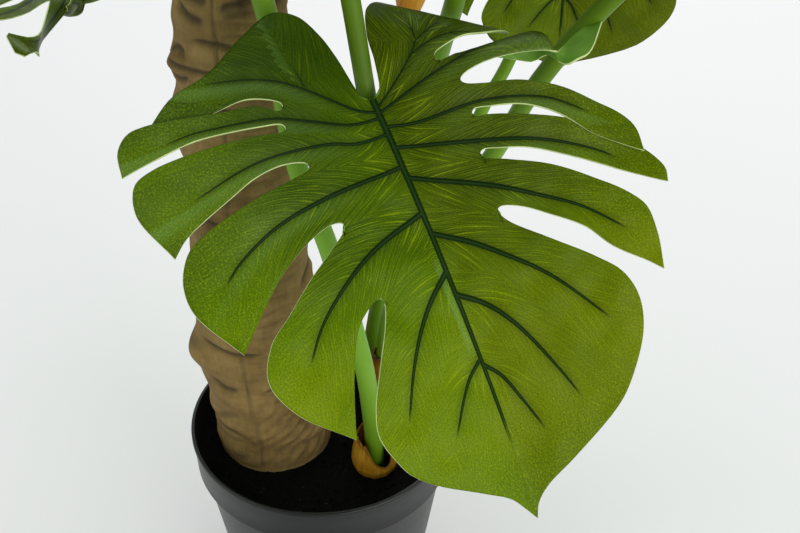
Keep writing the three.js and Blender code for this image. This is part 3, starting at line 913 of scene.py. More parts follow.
@dataclass
class Blade:
    """A split leaf blade: a thin sheet folded along its midrib and creased to each vein."""

    leaf: Leaf
    thickness: float = 1.2
    fine_faces: tuple[int, int] = (60, 28)
    plain_faces: tuple[int, int] = (20, 12)

    def height(self, u: np.ndarray, v: np.ndarray) -> np.ndarray:
        """Height over the leaf's own plane, as in the CAD source.

        Args:
            u: Distances along the midrib.
            v: Distances out from it, negative on the left.

        Returns:
            One height for each point.
        """
        shape = self.leaf.shape
        fold = FOLD * np.sqrt(v * v + FOLD_ROUND**2) * shape.fold
        along = np.where(u > 0, -ARCH * shape.arch * u * u, -REAR * u * u)
        lag = np.where(v > 0, WAVE_LAG, 0.0)
        wave = shape.wave * (v / WAVE_REACH) ** 2 * np.sin(u / WAVE_LENGTH + shape.phase + lag)
        return along - DROOP * shape.side * v * v + fold + wave

    @staticmethod
    def quilt(veins: VeinSet, flat: np.ndarray) -> np.ndarray:
        """How far the sheet swells between its veins, more so towards the leaf's outline.

        Args:
            veins: The veins that it sinks to.
            flat: Points along and out from the midrib.

        Returns:
            One height for each point.
        """
        _, off, left = veins.measure(flat)
        near = np.sqrt(off**2 + np.minimum(left, 0.0) ** 2 + 1.0).min(1) - 1.0
        outer = smooth(flat[:, 1], *OUTER_PART)
        depth, width = QUILT_DEPTH + QUILT_GAIN * outer, QUILT_REACH + QUILT_SPREAD * outer
        swell = depth * (1 - np.exp(-near / width)) - QUILT_SUNK * depth
        return swell * smooth(flat[:, 1], 0.0, QUILT_FROM)

    def lobe_points(self, side: Side, index: int, s: np.ndarray, t: np.ndarray) -> np.ndarray:
        """Shape one lobe in the leaf's own frame.

        Args:
            side: The half of the outline table.
            index: The lobe's place in the table.
            s: Shares out from the midrib.
            t: Shares across the lobe.

        Returns:
            Rows of distance along, distance out and height.
        """
        lobes, veins = LEAF_SIDES[side]
        sign = side.value * (-1 if self.leaf.mirrored else 1)
        flat = LobePatch(lobes, index).points(s, t)
        free = np.maximum(0.0, (s - SLIT_START) / (1 - SLIT_START))
        lift = self.leaf.bends.get((side, index), 0.0) * free**2 * t**2 + self.quilt(veins, flat)
        curl = self.leaf.curl
        if curl and curl.side is side:
            flat, sunk = curl.wrap(flat)
            lift = lift - sunk
        u, v = flat[:, 0], sign * flat[:, 1]
        points = np.stack([u, v, self.height(u, v) + lift], 1)
        twist = self.leaf.twists.get((side, index))
        if twist:
            edge, across, up = twist.section(s, t)
            height = self.height(edge[:, 0], sign * edge[:, 1]) + up
            rolled = np.stack([across[:, 0], sign * across[:, 1], height], 1)
            points = points + (rolled - points) * twist.share(s)
        return points

    def place(self, points: np.ndarray) -> np.ndarray:
        """Carry points from the leaf's own frame to the plant's.

        Args:
            points: Rows of along, out and height.

        Returns:
            Rows of x, y and z.
        """
        along, side, normal = self.leaf.directions()
        offset = points[:, :1] * along + points[:, 1:2] * side + points[:, 2:] * normal
        return np.array(self.leaf.at, float) + self.leaf.size * offset

    def build(self, finish: "LeafFinish") -> bpy.types.Object:
        """Build the blade.

        Args:
            finish: The materials of its faces and rim.

        Returns:
            The finished piece.
        """
        bm = bmesh.new()
        columns, rows = self.fine_faces if self.leaf.fine else self.plain_faces
        for side, (lobes, _) in LEAF_SIDES.items():
            for index in range(len(lobes)):
                self._add_lobe(bm, side, index, columns, rows)
        bmesh.ops.remove_doubles(bm, verts=bm.verts, dist=WELD)
        bmesh.ops.dissolve_degenerate(bm, edges=bm.edges, dist=WELD / 2)
        name = f"leaf_{self.leaf.name}"
        piece = make_object(name, bm, finish.materials(), outwards=False)
        wall = piece.modifiers.new("thickness", "SOLIDIFY")
        wall.thickness = self.thickness * self.leaf.size * MM
        wall.offset = 0.0
        wall.use_even_offset = False
        wall.material_offset = 1
        wall.material_offset_rim = 2
        settle(piece, Slot.BLADE, f"blade_{self.leaf.name}")
        return piece

    def _add_lobe(self, bm: bmesh.types.BMesh, side: Side, index: int, columns: int, rows: int) -> None:
        """Add one lobe with its coordinates for the finish.

        Args:
            bm: The bmesh to add to.
            side: The half of the leaf.
            index: The lobe's place in the table.
            columns: Faces out from the midrib.
            rows: Faces across the lobe.
        """
        sign = side.value * (-1 if self.leaf.mirrored else 1)

        def shaped(s: np.ndarray, t: np.ndarray) -> np.ndarray:
            """Place the lobe's points."""
            return self.place(self.lobe_points(side, index, s, t))

        verts, shares = mapped_grid(bm, columns, rows, shaped)
        lobes, veins = LEAF_SIDES[side]
        flat = LobePatch(lobes, index).points(shares[:, 0], shares[:, 1])
        along, off, left = veins.measure(flat)
        order = {vert: place for place, vert in enumerate(verts)}
        faces = list({face for vert in verts for face in vert.link_faces})
        layers = {name: bm.loops.layers.uv.get(name) or bm.loops.layers.uv.new(name)
                  for name in ("Leaf", "Lobe", "Reach")}
        near = np.abs(off) + np.maximum(-left, 0.0)
        for face in faces:
            corners = [order[loop.vert] for loop in face.loops]
            vein = int(near[corners].mean(0).argmin())
            for loop, k in zip(face.loops, corners):
                loop[layers["Leaf"]].uv = (flat[k, 0] / UV_UNIT, sign * flat[k, 1] / UV_UNIT)
                loop[layers["Lobe"]].uv = (along[k, vein] / UV_UNIT, off[k, vein] / UV_UNIT)
                loop[layers["Reach"]].uv = (left[k, vein] / UV_UNIT, shares[k, 0])
        if sign > 0:
            bmesh.ops.reverse_faces(bm, faces=faces)


# Finishes


@dataclass(frozen=True)
class LeafSpot:
    """Where a point of a blade lies: flat coordinates for noise, then distances in millimetres."""

    flat: Wire
    u: Wire
    v: Wire
    along: Wire
    off: Wire
    left: Wire

    @classmethod
    def read(cls, graph: Graph) -> "LeafSpot":
        """Read the UV maps of a blade.

        Args:
            graph: The graph to build in.

        Returns:
            The sockets.
        """
        flat = graph.uv("Leaf")
        u, v, _ = graph.split(flat)
        along, off, _ = graph.split(graph.uv("Lobe"))
        left, _, _ = graph.split(graph.uv("Reach"))
        return cls(flat, *(part * UV_UNIT for part in (u, v, along, off, left)))


@dataclass(frozen=True)
class LeafFinish:
    """Moulded leaf: satin upper face with dark veins and a pale net, paler underside and a cream cut rim. The
    upper face carries painted light: a highlight down each rib, sheen before the rear veins and beside the
    midrib, and shade by the veins, at the tip and on the rear lobes.
    """

    name: str = "leaf"
    deep: tuple[Colour, Colour] = ((0.022, 0.050, 0.0004), (0.026, 0.046, 0.0004))
    middle: tuple[Colour, Colour] = ((0.080, 0.150, 0.0004), (0.080, 0.125, 0.0004))
    bright: tuple[Colour, Colour] = ((0.158, 0.225, 0.0006), (0.142, 0.184, 0.0005))
    vein: Colour = (0.0035, 0.017, 0.0012)
    # Painted highlight down the middle of each rib
    rib_highlight: Colour = (0.016, 0.045, 0.008)
    net: Colour = (0.250, 0.340, 0.001)
    # Colour of the painted sheen in front of the rear veins and beside the midrib
    pale: Colour = (0.170, 0.310, 0.070)
    under: Colour = (0.135, 0.285, 0.022)
    rim: Colour = (0.600, 0.720, 0.270)
    roughness: float = 0.42
    rib_tip: float = 0.45
    rib_full: float = 1.5
    rib_taper: float = 0.014
    midrib: float = 1.95
    midrib_taper: float = 0.0065
    hair_gap: float = 2.9
    branch_gap: float = 9.5
    rib_height: float = 0.8
    swell_height: float = 7.0

    def materials(self) -> list[bpy.types.Material]:
        """The materials of the upper face, the underside and the rim."""
        found = [bpy.data.materials.get(f"{self.name}_{part}") for part in ("top", "under", "rim")]
        return found if all(found) else [self._top(), self._under(), self._rim()]

    def _veins(self, spot: LeafSpot) -> tuple[Wire, Wire, Wire]:
        """Rounded ribs along the midrib and the laterals, each tapering to a point.

        Args:
            spot: Where the point lies.

        Returns:
            The rib mask, the rounded relief and a painted highlight line down the middle of each rib.
        """
        stout = 0.55 + spot.u.ease(-10.0, 55.0) * 0.45
        half_width = (spot.left * self.rib_taper + self.rib_tip).clamp(0.08, self.rib_full) * stout
        side = abs(spot.off) / half_width
        middle = abs(spot.v) / (self.midrib - spot.u * self.midrib_taper).clamp(0.3, self.midrib)
        laterals = (1 - side.ease(0.7, 1.2)) * spot.left.ease(-1.0, 9.0)
        midrib = (1 - middle.ease(0.75, 1.2)) * (1 - spot.u.ease(160.0, 180.0))
        mask = laterals.calc("MAXIMUM", midrib)
        near = side.calc("MINIMUM", middle).clamp()
        round_rib = (1 - near * near) ** 0.5
        return mask, round_rib * mask, (1 - near.ease(0.05, 0.5)) * mask

    def _net(self, graph: Graph, spot: LeafSpot) -> Wire:
        """Hair-fine pale lines that leave each vein at a slant and bend outwards.

        Args:
            graph: The graph to build in.
            spot: Where the point lies.

        Returns:
            The lines' strength from 0 to 1.
        """
        off = abs(spot.off)
        slope = 1.4 + spot.v.ease(-3.0, 3.0)
        swept = spot.along - off * slope - off * off * 0.045
        wander = graph.noise(graph.join(swept * 0.16, off * 0.06, 2.0), 1.0, 2.0)
        hair = 1 - (swept / self.hair_gap + wander * 3.2).calc("PINGPONG", 0.5).ease(0.03, 0.24)
        branch = 1 - (swept / self.branch_gap + wander * 2.6).calc("PINGPONG", 0.5).ease(0.0, 0.075)
        worn = graph.noise(graph.join(swept * 0.45, off * 0.22, 5.0), 1.0, 2.0).ease(0.3, 0.7)
        patchy = graph.noise(spot.flat, 5.0, 1.0).ease(0.25, 0.7)
        return (hair * (0.3 + worn * 0.7) * (0.45 + patchy * 0.45) + branch * worn * 0.55).clamp()

    def _tone(self, spot: LeafSpot, cloud: Wire, outward: Wire) -> Wire:
        """How bright the body is, partly its own colour and partly painted light and shade.

        Args:
            spot: Where the point lies.
            cloud: Soft noise round 0.
            outward: The share out from the midrib.

        Returns:
            The tone from 0 to 1.
        """
        # Yellower and brighter towards the front and the rim, partly the leaf's own colour and partly painted
        # light; painted shade behind each vein, at the tip and on the rear lobes
        forward = spot.u.ease(45.0, 140.0) * 0.58
        outer = abs(spot.v).ease(45.0, 105.0) * 0.22
        behind = spot.off.ease(0.0, 12.0) * outward * 0.12
        tip_shade = spot.u.ease(165.0, 200.0) * 0.22
        rear = (1 - spot.u.ease(-45.0, 0.0)) * 0.16
        return (0.2 + forward + outer + cloud * 0.34 - behind - tip_shade - rear).clamp()

    def _body(self, graph: Graph, spot: LeafSpot, cloud: Wire) -> Wire:
        """The body's colour, with painted sheen in front of the rear veins and beside the midrib.

        Args:
            graph: The graph to build in.
            spot: Where the point lies.
            cloud: Soft noise round 0.

        Returns:
            The colour's socket.
        """
        outward = abs(spot.v).ease(6.0, 80.0)
        tone = self._tone(spot, cloud, outward)
        left, right = (graph.ramp(tone, [(0.0, self.deep[k]), (0.5, self.middle[k]), (1.0, self.bright[k])])
                       for k in (0, 1))
        body = graph.mix(left, right, spot.v.ease(-12.0, 12.0))
        # Painted sheen: a pale strip in front of each rear vein and a pale line beside the midrib
        front = 0 - spot.off
        ahead = front.ease(0.5, 3.0) * (1 - front.ease(4.0, 11.0))
        sheen_strip = ahead * outward * (1 - spot.u.ease(20.0, 90.0)) * 0.3
        line = 1 - abs(spot.v + 3.4).ease(0.8, 2.4)
        beside = line * spot.u.ease(76.0, 88.0) * (1 - spot.u.ease(118.0, 132.0)) * 0.4
        return graph.mix(body, self.pale, (sheen_strip + beside).clamp())

    def _top(self) -> bpy.types.Material:
        """The upper face.

        Returns:
            The material.
        """
        graph = Graph(f"{self.name}_top")
        spot = LeafSpot.read(graph)
        vein, relief, rib_highlight = self._veins(spot)
        net = self._net(graph, spot)
        cloud = graph.noise(spot.flat, 3.2, 2.0) - 0.5
        body = self._body(graph, spot, cloud)
        fading = 1 - (abs(spot.v).ease(50.0, 100.0) + spot.u.ease(130.0, 190.0)).clamp() * 0.55
        speckle = graph.noise(spot.flat, 95.0, 2.0, 0.6).ease(0.45, 0.7) * (1 - fading) * 1.1
        smoother = 1 - (1 - spot.u.ease(-25.0, 45.0)) * (1 - spot.v.ease(-4.0, 4.0)) * 0.65
        netted = graph.mix(body, graph.mix(body, self.net, 0.7), (net * fading * smoother + speckle).clamp())
        grain = graph.noise(spot.flat, 125.0, 3.0, 0.65)
        grained = graph.tint(netted, 0.2 + grain * 1.6)
        # Painted shade in the hollow along each vein and past its end
        vein_shade = (1 - abs(spot.off).ease(0.8, 4.5)) * spot.left.ease(-2.0, 14.0) * 0.25
        shaded = graph.tint(grained, 1 - vein_shade)
        # Dark veins, each with a painted highlight line down its middle
        colour = graph.mix(shaded, graph.mix(self.vein, self.rib_highlight, rib_highlight * 0.8), vein * 0.96)
        swell = graph.bump(graph.noise(spot.flat, 3.6, 1.0), self.swell_height * MM)
        fine = graph.bump(relief * 0.9 + net * 0.09 + grain * 0.08, self.rib_height * MM, swell)
        rough = self.roughness + (grain - 0.5) * 0.14 + vein * 0.06
        glossy = (1 - spot.u.ease(0.0, 75.0)) * abs(spot.v).ease(10.0, 60.0)
        sheen = glossy * (0.5 + cloud * 1.8).clamp() * 0.5
        return graph.finish(colour, rough, fine, Specular_IOR_Level=0.06,
                            Coat_Weight=sheen, Coat_Roughness=0.36)

    def _under(self) -> bpy.types.Material:
        """The paler underside, whose ribs stand out.

        Returns:
            The material.
        """
        graph = Graph(f"{self.name}_under")
        spot = LeafSpot.read(graph)
        vein, relief, _ = self._veins(spot)
        net = self._net(graph, spot)
        cloud = graph.noise(spot.flat, 4.0, 3.0)
        pale = tuple(min(1.0, part * 1.5 + 0.02) for part in self.under)
        body = graph.mix(self.under, pale, cloud.ease(0.3, 0.75) * 0.7)
        colour = graph.mix(graph.mix(body, pale, net * 0.5), pale, vein * 0.8)
        normal = graph.bump(relief * 0.9 + net * 0.12, self.rib_height * MM)
        return graph.finish(colour, 0.5 + net * 0.05, normal, Specular_IOR_Level=0.25)

    def _rim(self) -> bpy.types.Material:
        """The pale cut edge.

        Returns:
            The material.
        """
        graph = Graph(f"{self.name}_rim")
        stain = graph.noise(graph.place(), 120.0, 2.0)
        shade = tuple(part * 0.78 for part in self.rim)
        colour = graph.mix(shade, self.rim, stain.ease(0.3, 0.7))
        return graph.finish(colour, 0.55 + stain * 0.1)


@dataclass(frozen=True)
class StalkFinish:
    """Smooth plastic stem with faint lengthwise streaks, deeper green to its foot."""

    low: Colour = (0.090, 0.185, 0.003)
    middle: Colour = (0.215, 0.430, 0.036)
    high: Colour = (0.110, 0.205, 0.006)
    top: Colour = (0.075, 0.140, 0.005)

    def material(self) -> bpy.types.Material:
        """The stem's material.

        Returns:
            The material.
        """
        graph = Graph("stalk")
        along, around, _ = graph.split(graph.uv("Tube"))
        share, _, _ = graph.split(graph.uv("Share"))
        body = graph.ramp(share, [(0.02, self.low), (0.3, self.middle), (0.62, self.high), (0.85, self.top)])
        streak = graph.noise(graph.join(along * 0.8, around * 26.0), 1.0, 3.0)
        cloud = graph.noise(graph.join(along * 2.5, around * 2.0, 5.0), 1.0, 2.0)
        shade = 0.86 + streak * 0.16 + cloud * 0.14
        fleck = graph.noise(graph.place(), 900.0, 2.0)
        normal = graph.bump(streak * 0.6 + fleck * 0.2, 0.25 * MM)
        rough = 0.36 + streak * 0.12
        return graph.finish(graph.tint(body, shade), rough, normal, Specular_IOR_Level=0.16)


@dataclass(frozen=True)
class SheathFinish:
    """Papery amber leaf base with long fibres, browner to its torn edge."""

    name: str = "sheath"
    dark: Colour = (0.110, 0.036, 0.001)
    amber: Colour = (0.350, 0.160, 0.002)
    pale: Colour = (0.650, 0.380, 0.025)

    def material(self) -> bpy.types.Material:
        """The sheath's material.

        Returns:
            The material.
        """
        graph = Graph(self.name)
        along, around, _ = graph.split(graph.uv("Tube"))
        share, _, _ = graph.split(graph.uv("Share"))
        fibre = graph.noise(graph.join(along * 3.0, around * 30.0), 1.0, 4.0, 0.65)
        cloud = graph.noise(graph.place(), 70.0, 2.0)
        tone = (fibre * 0.7 + cloud * 0.5 - 0.1 - share.ease(0.8, 1.0) * 0.3).clamp()
        colour = graph.ramp(tone, [(0.12, self.dark), (0.45, self.amber), (0.85, self.pale)])
        normal = graph.bump(fibre, 0.5 * MM)
        return graph.finish(colour, 0.5 + fibre * 0.2, normal, Specular_IOR_Level=0.4)


@dataclass(frozen=True)
class TrunkFinish:
    """Moulded brown bark-like wrap with dark scars and seam, painted shade in its creases, folds and ribs,
    stains and a cloth grain.
    """

    dark: Colour = (0.040, 0.023, 0.007)
    brown: Colour = (0.170, 0.105, 0.030)
    tan: Colour = (0.340, 0.232, 0.080)
    # Stain colour, also used for the scars, the seam and the painted shade in the creases, folds and ribs
    stain: Colour = (0.022, 0.017, 0.012)

    def material(self) -> bpy.types.Material:
        """The wrap's material.

        Returns:
            The material.
        """
        graph = Graph("trunk")
        place = graph.place()
        scar_seam_and_crease_shade = graph.value("Crease")
        patch = graph.noise(graph.stretch(place, (1.0, 1.0, 0.55)), 26.0, 4.0, 0.6)
        grain = graph.noise(graph.stretch(place, (1.0, 1.0, 0.35)), 320.0, 4.0, 0.7)
        ringed = graph.noise(graph.stretch(place, (1.0, 1.0, 5.0)), 30.0, 3.0, 0.6)
        tone = (patch * 0.75 + grain * 0.3 + ringed * 0.35 - 0.22).clamp()
        body = graph.ramp(tone, [(0.18, self.dark), (0.42, self.brown), (0.8, self.tan)])
        blot = graph.noise(graph.stretch(place, (1.0, 1.0, 2.0), (0.3, 0.1, 0.2)), 17.0, 3.0, 0.6)
        stained = graph.mix(body, self.stain, blot.ease(0.6, 0.78) * 0.6)
        # Darkens the scars and the seam, and paints shade into the creases, folds and ribs, with the stain
        # colour
        colour = graph.mix(stained, self.stain, (scar_seam_and_crease_shade * 1.1).clamp() * 0.85)
        weave = graph.noise(place, 1100.0, 2.0)
        relief = grain * 0.5 + ringed * 0.4 + weave * 0.15
        normal = graph.bump(relief, 1.0 * MM)
        return graph.finish(colour, 0.72 + grain * 0.2, normal, Specular_IOR_Level=0.25)


@dataclass(frozen=True)
class PotFinish:
    """Black moulded nursery plastic, satin with faint turning marks, dust and scuffs."""

    black: Colour = (0.0025, 0.0026, 0.0024)
    dust: Colour = (0.024, 0.024, 0.021)

    def material(self) -> bpy.types.Material:
        """The pot's material.

        Returns:
            The material.
        """
        graph = Graph("pot")
        place = graph.place()
        marks = graph.noise(graph.stretch(place, (1.0, 1.0, 30.0)), 8.0, 3.0, 0.6)
        pebble = graph.noise(place, 1400.0, 2.0)
        scuff = graph.noise(graph.stretch(place, (1.0, 1.0, 0.3), (0.2, 0.4, 0.0)), 60.0, 5.0, 0.7)
        dusty = scuff.ease(0.56, 0.8) * 0.35 + pebble.ease(0.62, 0.8) * 0.1
        colour = graph.mix(self.black, self.dust, dusty)
        normal = graph.bump(marks * 0.35 + pebble * 0.3, 0.22 * MM)
        rough = 0.36 + dusty * 0.4 + marks * 0.08
        return graph.finish(colour, rough, normal, Specular_IOR_Level=0.4)


@dataclass(frozen=True)
class FillFinish:
    """Black crumbly potting fill with a few grey specks."""

    black: Colour = (0.0008, 0.0008, 0.0008)
    crumb: Colour = (0.0035, 0.0032, 0.0028)
    speck: Colour = (0.080, 0.080, 0.076)

    def material(self) -> bpy.types.Material:
        """The fill's material.

        Returns:
            The material.
        """
        graph = Graph("fill")
        place = graph.place()
        grain = graph.noise(place, 240.0, 4.0, 0.65)
        spots = graph.noise(place, 520.0, 1.0)
        colour = graph.mix(graph.mix(self.black, self.crumb, grain.ease(0.35, 0.8)), self.speck,
                           spots.ease(0.74, 0.8) * 0.6)
        normal = graph.bump(grain, 1.2 * MM)
        return graph.finish(colour, 0.8 + grain * 0.15, normal, Specular_IOR_Level=0.08)


@dataclass(frozen=True)
class FloorFinish:
    """Matt white sweep."""

    white: Colour = (0.775, 0.767, 0.758)

    def material(self) -> bpy.types.Material:
        """The sweep's material.

        Returns:
            The material.
        """
        graph = Graph("floor")
        mottle = graph.noise(graph.place(), 3.0, 2.0)
        grey = tuple(part * 0.985 for part in self.white)
        return graph.finish(graph.mix(grey, self.white, mottle), 0.75, Specular_IOR_Level=0.2)


# Stems


def ring_noise(turn: np.ndarray, reach: float, level: np.ndarray) -> np.ndarray:
    """Noise that closes on itself round a piece.

    Args:
        turn: Angles round the piece.
        reach: How many waves it has round it, roughly.
        level: How far up the noise each point lies.

    Returns:
        One value round 0 for each point.
    """
    spots = zip(reach * np.cos(turn), reach * np.sin(turn), level)
    return np.array([noise.noise(Vector(spot)) for spot in spots])


def tube_place(route: Route, radius: Callable[[np.ndarray, np.ndarray], np.ndarray]) -> Place:
    """Make the function that wraps a grid round a route.

    Args:
        route: The middle line.
        radius: Radius by distance and turn.

    Returns:
        A function for mapped_grid.
    """

    def place(s: np.ndarray, t: np.ndarray) -> np.ndarray:
        """Place points at s along and t round the route.

        Args:
            s: Shares out or along.
            t: Shares across or round.

        Returns:
            Rows of x, y and z.
        """
        stations, index = np.unique(np.round(route.length * s, 6), return_inverse=True)
        places, out, across = (part[index] for part in route.frames(stations))
        turn = 2 * math.pi * t
        reach = radius(stations[index], turn)[:, None]
        return places + reach * (out * np.cos(turn)[:, None] + across * np.sin(turn)[:, None])

    return place


@dataclass
class Stalk:
    """A long round stem from the pot or the crown to the underside of its blade."""

    leaf: Leaf
    foot: float = 0.96
    taper: float = 0.14
    knee: float = 0.08
    step: float = 6.0
    sides: int = 20

    def build(self, finish: bpy.types.Material) -> bpy.types.Object:
        """Build the stem.

        Args:
            finish: Its material.

        Returns:
            The finished piece.
        """
        route = self.leaf.seat_route()

        def radius(distance: np.ndarray, turn: np.ndarray) -> np.ndarray:
            """Radius along the stem, slightly ribbed and swollen under the blade.

            Args:
                distance: Distances along the stem.
                turn: Angles round it.

            Returns:
                One radius for each point.
            """
            share = distance / route.length
            size = self.foot + (1 - self.taper - self.foot) * share + self.knee * smooth(share, 0.9, 0.97)
            ridge = 0.012 * np.cos(3 * turn) + 0.006 * np.sin(7 * turn + distance / 60)
            return self.leaf.stalk_radius * size * (1 + ridge)

        bm = bmesh.new()
        columns = int(route.length / self.step)
        verts, shares = mapped_grid(bm, columns, self.sides, tube_place(route, radius))
        set_uv(bm, "Tube", verts, shares * (route.length / UV_UNIT, 1.0))
        set_uv(bm, "Share", verts, shares)
        bmesh.ops.remove_doubles(bm, verts=bm.verts, dist=SMALL_WELD)
        bmesh.ops.holes_fill(bm, edges=bm.edges, sides=self.sides)
        piece = make_object(f"stem_{self.leaf.name}", bm, [finish])
        settle(piece, Slot.STALK, f"stalk_{self.leaf.name}")
        return piece


@dataclass
class Sheath:
    """A papery leaf base round a stem, low where it opens and torn along its upper edge."""

    name: str
    leaf: Leaf
    stations: Sequence[tuple[float, float]]
    opening: float
    opening_depth: float
    ragged: float
    seed: int
    wall: float = 0.7
    opening_width: float = 0.75
    crumple: float = 0.07
    faces: tuple[int, int] = (26, 56)

    def build(self, finish: bpy.types.Material) -> bpy.types.Object:
        """Build the sheath.

        Args:
            finish: Its material.

        Returns:
            The finished piece.
        """
        route = self.leaf.seat_route()
        distances, radii = (np.array(part) for part in zip(*self.stations))
        low, high = distances[0], distances[-1]
        opening = math.radians(self.opening)

        def place(s: np.ndarray, t: np.ndarray) -> np.ndarray:
            """Wrap the sheet, its upper edge cut down at the opening.

            Args:
                s: Shares out or along.
                t: Shares across or round.

            Returns:
                Rows of x, y and z.
            """
            turn = 2 * math.pi * t
            cut = self.opening_depth * np.exp(-((turned(turn, opening) / self.opening_width) ** 2))
            torn = self.ragged * ring_noise(turn, 3, np.full_like(turn, self.seed))
            top = high - (high - low) * np.clip(cut + torn, 0.0, 0.9)
            distance = low + (top - low) * s
            stops, index = np.unique(distance, return_inverse=True)
            places, out, across = (part[index] for part in route.frames(stops))
            crumple = self.crumple * ring_noise(turn, 2.2, self.seed + 0.04 * distance)
            reach = np.interp(distance, distances, radii) * (1 + crumple) - self.wall
            return places + reach[:, None] * (out * np.cos(turn)[:, None] + across * np.sin(turn)[:, None])

        bm = bmesh.new()
        verts, shares = mapped_grid(bm, *self.faces, place)
        set_uv(bm, "Tube", verts, shares * ((high - low) / UV_UNIT, 1.0))
        set_uv(bm, "Share", verts, shares)
        bmesh.ops.remove_doubles(bm, verts=bm.verts, dist=SMALL_WELD)
        piece = make_object(f"bract_{self.name}", bm, [finish])
        skin = piece.modifiers.new("wall", "SOLIDIFY")
        skin.thickness = self.wall * MM
        skin.offset = 0.0
        settle(piece, Slot.SHEATH, f"sheath_{self.name}")
        return piece


# Trunk


@dataclass(frozen=True)
class Knot:
    """A swelling of the trunk: height, turn in degrees, size and spread."""

    z: float
    turn: float
    size: float
    spread: float


@dataclass(frozen=True)
class Scar:
    """A dark curved leaf scar round part of the trunk: its middle's height and angle, then its form.

    It droops by sag to its ends and by tilt for each radian round the trunk.
    """

    z: float
    turn: float
    half_width: float
    sag: float
    tilt: float
    thick: float


